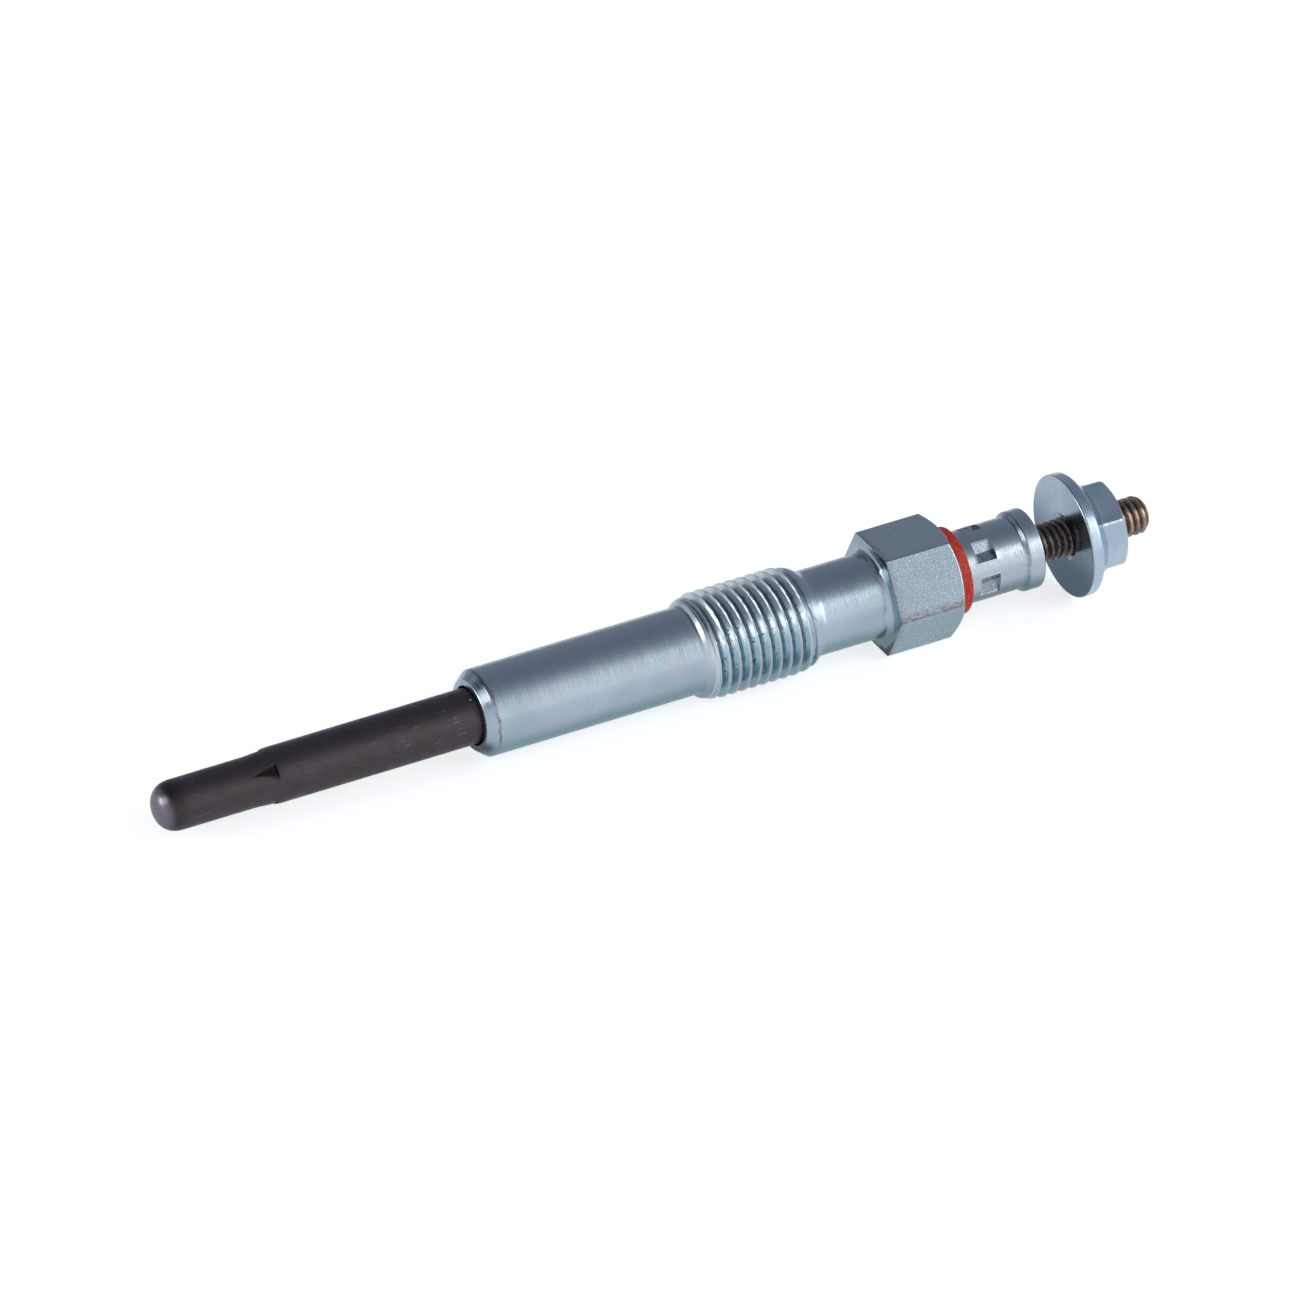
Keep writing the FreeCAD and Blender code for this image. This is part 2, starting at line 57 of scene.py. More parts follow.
NOWHERE = -10.0  # mm, a station off the plug, for a finish without the feature
LOG = logging.getLogger("glow_plug")

Pair = tuple[float, float]
Triple = tuple[float, float, float]
Socket = bpy.types.NodeSocket
Layer = tuple[Socket, float, Socket | float]


class Ends(Enum):
    """How the first and last rows of a turned surface close."""

    RING = "the last row joins the first, round a bore"
    POLES = "each end row closes on a point of the axis"


class Region(IntEnum):
    """Material numbers on the housing, named for how the metal was shaped."""

    TURNED = 0
    ROLLED = 1
    DRAWN = 2


@dataclass(frozen=True)
class PlugAxis:
    """The plug's own frame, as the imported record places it.

    Args:
        apex: the front point of the glow tube, mm.
        along: unit direction from the apex to the terminal stud.
        near: unit direction, level, towards the near side.
        up: unit direction square to both.
    """

    apex: np.ndarray
    along: np.ndarray
    near: np.ndarray
    up: np.ndarray

    @classmethod
    def from_thread(cls, record: dict[str, Any], station: float) -> "PlugAxis":
        """Read the frame from the mount at the middle of the housing's thread.

        Args:
            record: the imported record.
            station: how far that mount lies behind the apex, mm.

        Returns:
            The plug's frame.
        """
        mount = next(entry for entry in record["mounts"] if entry["name"] == "head_thread")
        along = -np.array(mount["axis"], float)
        along /= np.linalg.norm(along)
        near = np.array([0.0, -1.0, 0.0])
        up = np.cross(near, along)
        up *= math.copysign(1.0, up[2])
        apex = np.array(mount["pos_m"], float) / MM - station * along
        return cls(apex, along, near, up)

    def place(self, station: np.ndarray, radius: np.ndarray, roll: np.ndarray) -> np.ndarray:
        """Points in metres: apex + station * along + radius * (sin roll * near + cos roll * up).

        Args:
            station, radius, roll: arrays that broadcast together.

        Returns:
            An array with one more axis, of x, y and z.
        """
        station, radius, roll = np.broadcast_arrays(station, radius, roll)
        across = (radius * np.sin(roll))[..., None] * self.near
        rise = (radius * np.cos(roll))[..., None] * self.up
        return (self.apex + station[..., None] * self.along + across + rise) * MM

    @property
    def tilt(self) -> float:
        """Angle of the axis off level, positive with the stud high."""
        return math.atan2(self.along[2], self.along[0])


# Shapes


def even_rolls(count: int) -> np.ndarray:
    """Rolls spread evenly round the axis."""
    return np.arange(count) * TURN / count


def off_nearest(roll: np.ndarray, first: float, count: int) -> np.ndarray:
    """Angle from the nearest of some evenly spaced rolls.

    Args:
        roll: where to measure.
        first: one of the spaced rolls.
        count: how many there are.

    Returns:
        The angles, from minus to plus half a sector.
    """
    sector = TURN / count
    return (roll - first + sector / 2) % sector - sector / 2


def gathered_rolls(count: int, corners: int, first: float, pull: float = 0.85) -> np.ndarray:
    """Rolls that crowd together at evenly spaced corners.

    With u even round the circle, the roll is u less pull * sin(corners * (u - first)) / corners.

    Args:
        count: number of rolls.
        corners: number of corners.
        first: roll of one of them.
        pull: 0 leaves the rolls even, near 1 gathers them most.

    Returns:
        The rolls, in order.
    """
    u = first + even_rolls(count)
    return u - pull * np.sin(corners * (u - first)) / corners


def hexagon_radius(roll: np.ndarray, across_flats: float, first_flat: float, corner: float) -> np.ndarray:
    """Radius of a hexagon with rounded corners.

    On a flat it is half the flats over the cosine of the angle from the flat's middle. Past the
    point where the flat meets the corner's arc, it is the far root of the arc's circle.

    Args:
        roll: where to measure.
        across_flats: width over two flats.
        first_flat: roll of the middle of one flat.
        corner: radius of the corner's arc.

    Returns:
        The radius at each roll.
    """
    apothem = across_flats / 2
    sixth = TURN / 6
    off_flat = off_nearest(roll, first_flat, 6)
    centre = (apothem - corner) / math.cos(sixth / 2)
    off_corner = sixth / 2 - np.abs(off_flat)
    reach = corner**2 - (centre * np.sin(off_corner)) ** 2
    arc = centre * np.cos(off_corner) + np.sqrt(np.maximum(reach, 0.0))
    tangent = math.atan2(centre * math.sin(sixth / 2), apothem)
    return np.where(np.abs(off_flat) > tangent, arc, apothem / np.cos(off_flat))


@dataclass(frozen=True)
class Corner:
    """One corner of a meridian, which is the half-section that a turned piece shows.

    Args:
        station: along the axis; a number, or one value for each roll.
        radius: from the axis; a number, or one value for each roll.
        setback: how far from the corner its rounding starts, 0 for a sharp corner.
        steps: number of rows on the leg that leaves the corner, or their shares of its length.
    """

    station: float | np.ndarray
    radius: float | np.ndarray
    setback: float = 0.0
    steps: int | np.ndarray = 1


BEND_STEPS = 4
GUARD = 0.03  # mm from a rounding to the row that keeps the shading of the leg even


def meridians(corners: list[Corner], rolls: np.ndarray, ends: Ends) -> tuple[np.ndarray, np.ndarray]:
    """Rows of points along the meridians of every roll at once.

    A leg runs straight between two corners. A rounded corner C is the parabola
    (1-t)^2 (C - d a) + 2 t (1-t) C + t^2 (C + d b), where a and b are the unit directions of the
    legs that meet there and d is the setback, at most 0.45 of either leg.

    Args:
        corners: the corners in order, with the metal on the left of the line.
        rolls: the roll of each column.
        ends: whether the last corner joins the first.

    Returns:
        Station and radius, each of shape (rows, columns).
    """
    columns = len(rolls)
    points = np.stack(
        [np.stack([np.broadcast_to(c.station, columns), np.broadcast_to(c.radius, columns)]) for c in corners]
    ).astype(float)
    count = len(corners)
    legs = np.roll(points, -1, axis=0) - points
    lengths = np.maximum(np.linalg.norm(legs, axis=1), 1e-9)
    directions = legs / lengths[:, None, :]
    closed = ends is Ends.RING
    t = np.linspace(0.0, 1.0, BEND_STEPS + 1)[:, None, None]
    setbacks = np.array([c.setback for c in corners])[:, None]
    shortest = np.minimum(lengths, np.roll(lengths, 1, axis=0))
    setbacks = np.minimum(setbacks, 0.45 * shortest)
    if not closed:
        setbacks[[0, -1]] = 0.0
    rows = []
    for k, corner in enumerate(corners):
        if corner.setback > 0 and setbacks[k].max() > 0:
            start = points[k] - setbacks[k] * directions[k - 1]
            stop = points[k] + setbacks[k] * directions[k]
            rows.append((1 - t) ** 2 * start + 2 * t * (1 - t) * points[k] + t**2 * stop)
        else:
            rows.append(points[k][None])
        if not closed and k == count - 1:
            break
        following = (k + 1) % count
        first = points[k] + setbacks[k] * directions[k]
        last = points[following] - setbacks[following] * directions[k]
        span = np.maximum(np.linalg.norm(last - first, axis=0), 1e-9)
        guard = np.minimum(GUARD / span, 0.2)
        shares = np.linspace(0, 1, corner.steps + 1) if isinstance(corner.steps, int) else corner.steps
        inner = shares[(shares > 0) & (shares < 1)][:, None] * np.ones(columns)
        inner = np.clip(inner, guard, 1 - guard)
        parts = [inner]
        if corner.setback > 0:
            parts.insert(0, guard[None])
        if corners[following].setback > 0:
            parts.append(1 - guard[None])
        share = np.concatenate(parts)[:, None, :]
        rows.append(first + share * (last - first))
    grid = np.concatenate(rows)
    return grid[:, 0], grid[:, 1]


@dataclass
class Shell:
    """A turned surface: rows along the meridian, columns round the axis.

    Args:
        name: the piece's name.
        station, radius: where its points lie, each of shape (rows, columns).
        rolls: the roll of each column.
        ends: how its end rows close.
        marks: values for the finishes to read, one for each point.
    """

    name: str
    station: np.ndarray
    radius: np.ndarray
    rolls: np.ndarray
    ends: Ends
    marks: dict[str, np.ndarray] = field(default_factory=dict)

    def faces(self) -> list[list[int]]:
        """Join the rows and columns to faces that point out of the metal.

        Returns:
            The corner numbers of every face, the quads first and then the fans at the poles.
        """
        rows, columns = self.station.shape
        row = np.arange(rows if self.ends is Ends.RING else rows - 1)[:, None]
        column = np.arange(columns)[None, :]
        beside = (column + 1) % columns
        below = (row + 1) % rows
        first = row * columns
        second = below * columns
        quads = np.stack([first + column, first + beside, second + beside, second + column], axis=-1)
        faces = quads.reshape(-1, 4).tolist()
        if self.ends is Ends.POLES:
            front, back = rows * columns, rows * columns + 1
            ring = np.arange(columns)
            onward = (ring + 1) % columns
            last = (rows - 1) * columns
            faces += np.stack([np.full(columns, front), onward, ring], axis=-1).tolist()
            faces += np.stack([np.full(columns, back), last + ring, last + onward], axis=-1).tolist()
        return faces

    def mesh(self, axis: PlugAxis, poles: tuple[float, float] = (0.0, 0.0)) -> bpy.types.Object:
        """Make the object, with one point attribute for each of the marks.

        Args:
            axis: the plug's frame.
            poles: stations of the two end points, where the ends are poles.

        Returns:
            A new object at the origin, with its place in its mesh.
        """
        points = axis.place(self.station, self.radius, self.rolls).reshape(-1, 3)
        marks = {key: np.broadcast_to(value, self.station.shape).ravel() for key, value in self.marks.items()}
        if self.ends is Ends.POLES:
            tips = axis.place(np.array(poles), np.zeros(2), np.zeros(2))
            points = np.concatenate([points, tips])
            marks = {key: np.append(value, [value[0], value[-1]]) for key, value in marks.items()}
        data = bpy.data.meshes.new(self.name)
        data.from_pydata(points.tolist(), [], self.faces())
        for key, value in marks.items():
            attribute = data.attributes.new(key, "FLOAT", "POINT")
            attribute.data.foreach_set("value", value.astype(np.float32))
        data.shade_smooth()
        data.set_sharp_from_angle(angle=math.radians(40))
        data.update()
        piece = bpy.data.objects.new(self.name, data)
        bpy.context.scene.collection.objects.link(piece)
        return piece


def bump_at(where: np.ndarray, centre: float, width: float) -> np.ndarray:
    """A soft hill of height 1: exp(-((where - centre) / width)^2)."""
    return np.exp(-(((where - centre) / width) ** 2))


def ease(value: np.ndarray, low: float, high: float) -> np.ndarray:
    """A smooth step from 0 at low to 1 at high: 3 t^2 - 2 t^3, with t the clipped share."""
    t = np.clip((value - low) / (high - low), 0.0, 1.0)
    return t * t * (3 - 2 * t)


@dataclass(frozen=True)
class Thread:
    """A right-hand screw thread with rolled, softened flanks.

    Args:
        crest: radius over the crests.
        pitch: crest to crest.
        start: station of a crest at roll 0.
        depth: crest to root.
        front, back: stations where the groove begins and ends.
        lead: how far from there the groove reaches its full depth.
        crest_share: share of the pitch that half a crest takes.
        root_share: share of the pitch that half a root takes.
        softness: 0 leaves the flanks straight, 1 bends them into the crest and the root.
    """

    crest: float
    pitch: float
    start: float
    depth: float
    front: float
    back: float
    lead: float = 0.7
    crest_share: float = 0.03
    root_share: float = 0.08
    softness: float = 0.1

    def groove(self, station: np.ndarray, roll: np.ndarray) -> np.ndarray:
        """Share of the full depth: 0 on a crest and 1 in a root.

        The phase is (station - start) / pitch - roll / turn. Its distance from the nearest crest,
        clipped between the half crest and the half root, rises in a line that is blended with
        3 t^2 - 2 t^3 by the softness, and fades out at both ends.

        Args:
            station, roll: where to read it.

        Returns:
            The share at each point.
        """
        phase = (station - self.start) / self.pitch - roll / TURN
        distance = np.abs(phase - np.round(phase))
        flank = 0.5 - self.root_share - self.crest_share
        t = np.clip((distance - self.crest_share) / flank, 0.0, 1.0)
        fade = ease(station, self.front, self.front + self.lead)
        fade = fade * ease(station, self.back, self.back - self.lead)
        return fade * ((1 - self.softness) * t + self.softness * t * t * (3 - 2 * t))

    def cut(
        self, station: np.ndarray, radius: np.ndarray, roll: np.ndarray, threaded: np.ndarray
    ) -> tuple[np.ndarray, np.ndarray]:
        """Cut the thread into a blank: the radius becomes the lesser of blank and thread.

        Args:
            station, radius, roll: the blank's points.
            threaded: which of them the thread may cut.

        Returns:
            The new radius and the groove's share of the depth, which is 0 elsewhere.
        """
        groove = np.where(threaded, self.groove(station, roll), 0.0)
        return np.where(threaded, np.minimum(radius, self.crest - self.depth * groove), radius), groove


# Finishes


def linear(code: str) -> tuple[float, float, float, float]:
    """Turn an sRGB hex colour into linear light.

    Args:
        code: a # and six hex digits.

    Returns:
        Red, green, blue and 1.
    """
    parts = [int(code[i : i + 2], 16) / 255 for i in (1, 3, 5)]
    red, green, blue = (p / 12.92 if p <= 0.04045 else ((p + 0.055) / 1.055) ** 2.4 for p in parts)
    return red, green, blue, 1.0


def feed(tree: bpy.types.NodeTree, node: bpy.types.Node, inputs: dict[Any, Any]) -> None:
    """Give a node's sockets their links or values.

    Args:
        tree: the node tree.
        node: the node to feed.
        inputs: for a socket's name or number, the socket that feeds it or its own value.
    """
    for key, value in inputs.items():
        if isinstance(value, Socket):
            tree.links.new(value, node.inputs[key])
        else:
            node.inputs[key].default_value = value


def add_node(tree: bpy.types.NodeTree, kind: str, inputs: dict[Any, Any], **settings: Any) -> bpy.types.Node:
    """Add a node with its settings and links.

    Args:
        tree: the node tree.
        kind: the node's type name.
        inputs: what feed() takes.
        settings: the node's own properties.

    Returns:
        The new node.
    """
    node = tree.nodes.new(kind)
    for key, value in settings.items():
        setattr(node, key, value)
    feed(tree, node, inputs)
    return node


@dataclass(frozen=True)
class Board:
    """A node tree, with the two ways in which this file combines sockets."""

    tree: bpy.types.NodeTree

    def share(self, value: Socket, source: Pair, target: Pair = (0.0, 1.0), *others: Socket) -> Socket:
        """Map a value smoothly from one range to another, and multiply it by other shares.

        Args:
            value: what is mapped.
            source: the two values between which it changes; past them it holds.
            target: what it becomes at those two.
            others: what the result is multiplied by.

        Returns:
            The product.
        """
        ends = {"From Min": source[0], "From Max": source[1], "To Min": target[0], "To Max": target[1]}
        inputs = {"Value": value, **ends}
        result = add_node(self.tree, "ShaderNodeMapRange", inputs, interpolation_type="SMOOTHSTEP").outputs[0]
        for other in others:
            inputs = {0: result, 1: other}
            result = add_node(self.tree, "ShaderNodeMath", inputs, operation="MULTIPLY").outputs[0]
        return result

    def coats(self, base: str, layers: list[tuple[Socket, str]]) -> Socket:
        """Lay coats of colour over one another.

        Args:
            base: the lowest colour, as sRGB hex.
            layers: the share and the colour of each coat, from the lowest up.

        Returns:
            The colour that shows.
        """
        shown = linear(base)
        for share, colour in layers:
            inputs = {0: share, 6: shown, 7: linear(colour)}
            shown = add_node(self.tree, "ShaderNodeMix", inputs, data_type="RGBA").outputs[2]
        return shown


@dataclass(frozen=True)
class Swatch(Board):
    """A material's nodes, and where the shaded point lies, in mm in the plug's own frame.

    Args:
        shader: the shader that the finish feeds.
        marks: the shell's point attributes that the finish reads.
        point: the place as a vector, whose last part is the height over the axis.
        lathe: the vector (station + radius, y, z). Its first part grows along the surface from one
            turned line to the next, on cylinders, cones and end faces alike.
        station, radius, height: single measures of the same point.
    """

    shader: bpy.types.Node
    marks: dict[str, Socket]
    point: Socket
    lathe: Socket
    station: Socket
    radius: Socket
    height: Socket

    @classmethod
    def of(cls, tree: bpy.types.NodeTree, axis: PlugAxis, marks: tuple[str, ...]) -> "Swatch":
        """Turn a material's Object coordinates into the plug's frame.

        Args:
            tree: the material's node tree.
            axis: the plug's frame.
            marks: names of the point attributes to read.

        Returns:
            The swatch to paint on.
        """
        shift = -(Matrix.Rotation(axis.tilt, 3, "Y") @ Vector(axis.apex))
        raw = add_node(tree, "ShaderNodeTexCoord", {})
        mapping = {"Location": shift, "Rotation": (0, axis.tilt, 0), "Scale": (1 / MM,) * 3}
        point = add_node(tree, "ShaderNodeMapping", {"Vector": raw.outputs["Object"], **mapping})
        station, y, z = add_node(tree, "ShaderNodeSeparateXYZ", {0: point.outputs[0]}).outputs
        flat = add_node(tree, "ShaderNodeCombineXYZ", {1: y, 2: z})
        radius = add_node(tree, "ShaderNodeVectorMath", {0: flat.outputs[0]}, operation="LENGTH")
        travel = add_node(tree, "ShaderNodeMath", {0: station, 1: radius.outputs["Value"]})
        lathe = add_node(tree, "ShaderNodeCombineXYZ", {0: travel.outputs[0], 1: y, 2: z})
        read = {name: add_node(tree, "ShaderNodeAttribute", {}, attribute_name=name) for name in marks}
        values = {name: node.outputs["Fac"] for name, node in read.items()}
        places = (point.outputs[0], lathe.outputs[0], station, radius.outputs["Value"], z)
        return cls(tree, tree.nodes["Principled BSDF"], values, *places)

    def grain(self, vector: Socket, sizes: Triple, detail: float, roughness: float) -> Socket:
        """Noise with a size of its own along each part of a vector.

        Args:
            vector: the point or its lathe vector.
            sizes: how far the grain reaches along each part, mm.
            detail: how many finer layers it has.
            roughness: how much they weigh.

        Returns:
            A socket from 0 to 1.
        """
        stretch = {0: vector, 1: [0.5 / size for size in sizes]}
        scaled = add_node(self.tree, "ShaderNodeVectorMath", stretch, operation="MULTIPLY")
        noise = {"Vector": scaled.outputs[0], "Scale": 1.0, "Detail": detail, "Roughness": roughness}
        return add_node(self.tree, "ShaderNodeTexNoise", noise).outputs[0]

    def patches(self, size: float, detail: float = 2.0) -> Socket:
        """Soft patches of about one size in mm, from 0 to 1."""
        return self.grain(self.point, (size, size, size), detail, 0.55)

    def lines(self, pitch: float, arc: float) -> Socket:
        """Tool marks of a lathe, a pitch apart and an arc long round the axis, in mm, from 0 to 1."""
        return self.grain(self.lathe, (pitch, arc, arc), 2.5, 0.6)

    def gap(self, station: Socket, other: float) -> Socket:
        """How far apart two stations are: the size of their difference."""
        off = add_node(self.tree, "ShaderNodeMath", {0: station, 1: other}, operation="SUBTRACT")
        return add_node(self.tree, "ShaderNodeMath", {0: off.outputs[0]}, operation="ABSOLUTE").outputs[0]

    def dress(self, tint: Socket, relief: list[Layer], values: dict[str, Socket | float]) -> None:
        """Feed the shader.

        Args:
            tint: its colour.
            relief: for each layer of bumps its height socket, its depth in mm and its strength.
            values: what its other sockets get.
        """
        bumps = {}
        for height, depth, strength in relief:
            inputs = {"Height": height, "Distance": depth * MM, "Strength": strength, **bumps}
            bumps = {"Normal": add_node(self.tree, "ShaderNodeBump", inputs).outputs[0]}
        feed(self.tree, self.shader, {"Base Color": tint, **bumps, **values})


@dataclass(frozen=True)
class Finish:
    """What every finish has: the name of its real material and process, and the marks it reads."""

    MARKS: ClassVar[tuple[str, ...]] = ()
    label: str

    def material(self, axis: PlugAxis) -> bpy.types.Material:
        """Make the material in the plug's frame.

        Args:
            axis: the plug's frame.

        Returns:
            The new material.
        """
        material = bpy.data.materials.new(self.label)
        material.use_nodes = True
        self.paint(Swatch.of(material.node_tree, axis, self.MARKS))
        return material

    def paint(self, on: Swatch) -> None:
        """Link the finish's patterns to the shader of a swatch."""
        raise NotImplementedError


@dataclass(frozen=True)
class TurnedZinc(Finish):
    """Free-cutting steel, turned, then plated with zinc and passivated blue.

    The plating keeps the tool marks, so the highlight breaks up into short dashes round the axis, and the
    thin passive film tints the metal blue. Painted shade makes the lower side darker and teal and the top
    greyer.
    """

    MARKS: ClassVar[tuple[str, ...]] = ("torn",)
    clear: str = "#bccad8"
    film: str = "#aabfc9"
    cloud: str = "#bdc3d2"
    # painted shade: a darker, teal lower side and a greyer top
    painted_under_shade: str = "#7b9aa3"
    above: str = "#a3aebd"
    torn: str = "#77787c"
    shaded: str = "#465157"
    stain: str = "#80737a"
    line_pitch: float = 0.10
    line_arc: float = 3.0
    smooth: float = 0.21
    rough: float = 0.30
    line_depth: float = 0.004
    seam: float = NOWHERE
    bevel: float = NOWHERE
    ridged: float = NOWHERE

    def paint(self, on: Swatch) -> None:
        """Tool marks set gloss and relief, and clouds, a stained seam, torn metal and painted shade set the
        tint.

        The lines are 0.1 mm apart, wider than a real cut leaves them, as fine as the picture can
        show. The height over the radius is 1 on top and -1 below, so it says which side is meant.
        The seam stays stained where it wanders, ridges stand where the thread runs out, and a front bevel is
        pitted and gets painted shade on its underside. Painted shade also makes the lower side darker and
        teal and the top greyer.

        Args:
            on: the swatch to paint on.
        """
        lines = on.lines(self.line_pitch, self.line_arc)
        over = {0: on.height, 1: on.radius}
        side = add_node(on.tree, "ShaderNodeMath", over, operation="DIVIDE").outputs[0]
        drift = on.share(on.patches(1.2, 3.0), (0.2, 0.8), (-0.2, 0.2))
        wandering = add_node(on.tree, "ShaderNodeMath", {0: on.station, 1: drift}).outputs[0]
        blots = on.share(on.patches(0.35), (0.3, 0.6), (0.15, 0.8))
        torn = on.marks["torn"]
        whole = on.share(torn, (1.0, 0.0), (0.2, 1.0))
        front = on.share(on.station, (self.bevel + 0.95, self.bevel + 0.35), (0.0, 0.85))
        layers = [
            (on.share(on.patches(5.0), (0.4, 0.65), (0.0, 0.8)), self.film),
            (on.share(on.patches(1.8), (0.45, 0.7), (0.0, 0.7)), self.cloud),
            (on.share(on.gap(wandering, self.seam), (0.24, 0.06), (0.0, 1.0), blots), self.stain),
            (on.share(on.patches(0.12, 3.0), (0.42, 0.6), (0.6, 0.0), torn), self.torn),
            # painted shade: the lower side darker and teal, weaker inside the crimps
            (on.share(side, (-0.05, -0.6), (0.0, 0.95), whole), self.painted_under_shade),
            # painted shade: the top greyer
            (on.share(side, (0.72, 0.92), (0.0, 0.7)), self.above),
            # painted shade on the underside of the front bevel
            (on.share(side, (-0.25, -0.55), (0.0, 1.0), front), self.shaded),
        ]
        ridges = on.share(on.gap(on.station, self.ridged), (1.4, 0.6))
        pitted = on.share(on.station, (self.bevel + 1.08, self.bevel + 0.78), (0.05, 0.5))
        relief = [
            (on.lines(self.line_pitch * 7, 14.0), 0.035, ridges),
            (on.patches(0.22, 3.0), 0.012, pitted),
            (on.lines(self.line_pitch, 0.25), 0.02, 0.5),
            (lines, self.line_depth, 0.5),
        ]
        shine = on.share(lines, (0.38, 0.62), (self.smooth, self.rough))
        on.dress(on.coats(self.clear, layers), relief, {"Metallic": 1.0, "Roughness": shine})


@dataclass(frozen=True)
class RolledZinc(Finish):
    """The same plated steel where the thread was rolled.

    Rolling leaves smooth, bright flanks. Painted teal shade fills the grooves below the top and deepens
    further down, painted shade darkens the crests and ungrooved metal towards the bottom, the roots are
    darker, the low crests are rubbed warm, and a few specks of black oil and dirt sit in the grooves.
    """

    MARKS: ClassVar[tuple[str, ...]] = ("groove", "crest")
    flank: str = "#d6e0e6"
    # painted shade on the lower side: darker crests and ungrooved metal, and teal grooves that deepen further
    # down
    painted_low_shade: str = "#8f9fab"
    teal: str = "#c8dde6"
    deep: str = "#86aab7"
    root: str = "#56697a"
    crest: str = "#aaa3a6"
    dirt: str = "#121419"
    speck: Triple = (0.1, 0.278, 0.278)

    def paint(self, on: Swatch) -> None:
        """The depth of the groove and the height set the tint, with painted shade on the lower side, and
        noise in the grooves the dirt.

        Args:
            on: the swatch to paint on.
        """
        groove = on.marks["groove"]
        lines = on.lines(0.10, 1.6)
        oil = on.grain(on.lathe, self.speck, 4.0, 0.65)
        low = on.share(on.height, (2.6, -3.0))
        # share of the painted teal shade: the grooves below the top
        teal_shade_share = on.share(groove, (0.05, 0.3), (0.0, 1.0), on.share(on.height, (3.0, 1.6)))
        specks = on.share(oil, (0.585, 0.63), (0.0, 0.95), on.share(groove, (0.4, 0.8)))
        layers = [
            # painted shade: crests and ungrooved metal darker towards the bottom
            (on.share(groove, (0.1, 0.0), (0.0, 0.85), low), self.painted_low_shade),
            (teal_shade_share, self.teal),
            # deeper painted teal shade further down
            (on.share(on.height, (0.3, -2.4), (0.0, 0.9), teal_shade_share), self.deep),
            # darker in the roots
            (on.share(groove, (0.84, 1.0), (0.0, 0.9)), self.root),
            (on.share(on.height, (2.6, -3.0), (0.0, 1.0), on.marks["crest"]), self.crest),
            (specks, self.dirt),
        ]
        bright = on.share(lines, (0.35, 0.7), (0.16, 0.28))
        satin = on.share(groove, (0.3, 0.08), (0.0, 0.11))
        metal = add_node(on.tree, "ShaderNodeMath", {0: bright, 1: satin})
        shine = add_node(on.tree, "ShaderNodeMix", {0: specks, 2: metal.outputs[0], 3: 0.6})
        relief = [(lines, 0.003, 0.45), (oil, 0.02, 0.12)]
        on.dress(on.coats(self.flank, layers), relief, {"Metallic": 1.0, "Roughness": shine.outputs[0]})


@dataclass(frozen=True)
class DrawnZinc(Finish):
    """Plated flats of a drawn hexagonal bar.

    The drawn skin is coarse, so the zinc grows on it as fine matt crystals that sparkle, with painted glints
    on the crystals off the top flat. They are drawn 0.055 mm wide, coarser than real ones, so that the
    picture can show them. The flat on top lies level and gets a paler painted light, painted teal shade
    darkens the lower side, and painted shade darkens the front face towards the bottom.
    """

    MARKS: ClassVar[tuple[str, ...]] = ("rub", "crown", "edge")
    clear: str = "#9dacbb"
    film: str = "#96a9b6"
    # painted teal shade on the lower side
    painted_under_shade: str = "#87a6ad"
    between: str = "#8493a2"
    # painted light on the top flat, and painted glints on the crystals of the other flats
    above: str = "#b3c1cd"
    painted_glint: str = "#e6ecf3"
    worn: str = "#8c878b"
    shaded: str = "#333d42"
    crown: str = "#eef2f6"
    edge: str = "#77717a"
    crystal: float = 0.055
    streak: Triple = (0.3846, 0.1111, 0.1111)
    top_flat: float = 5.99
    front_face: float = NOWHERE

    def paint(self, on: Swatch) -> None:
        """Crystals give the relief and painted glints, painted light and shade follow the height, and streaks
        rub one corner and the front edge.

        Args:
            on: the swatch to paint on.
        """
        fine = on.patches(self.crystal, 3.0)
        streaks = on.grain(on.point, self.streak, 4.0, 0.7)
        rising = (self.top_flat - 0.06, self.top_flat)
        beside = on.share(on.height, rising, (1.0, 0.25))
        front = on.share(on.station, (self.front_face + 0.1, self.front_face + 0.03), (0.0, 0.92))
        layers = [
            (on.share(on.patches(3.0), (0.4, 0.65), (0.0, 0.8)), self.film),
            # painted teal shade towards the bottom
            (on.share(on.height, (-0.2, -1.4), (0.0, 0.8)), self.painted_under_shade),
            (on.share(fine, (0.44, 0.34), (0.0, 0.5)), self.between),
            # painted light: the top flat paler
            (on.share(on.height, rising, (0.0, 0.9)), self.above),
            # painted glints on the crystals, faint on the top flat
            (on.share(fine, (0.54, 0.66), (0.0, 0.85), beside), self.painted_glint),
            (on.share(streaks, (0.43, 0.54), (0.05, 0.95), on.marks["rub"]), self.worn),
            # painted shade on the lower part of the front face
            (on.share(on.height, (-1.6, -4.2), (0.0, 1.0), front), self.shaded),
            (on.marks["crown"], self.crown),
            (on.share(streaks, (0.4, 0.55), (0.15, 0.75), on.marks["edge"]), self.edge),
        ]
        relief = [(fine, 0.012, 0.24), (streaks, 0.01, 0.1)]
        shine = on.share(fine, (0.35, 0.7), (0.24, 0.16))
        on.dress(on.coats(self.clear, layers), relief, {"Metallic": 1.0, "Roughness": shine})


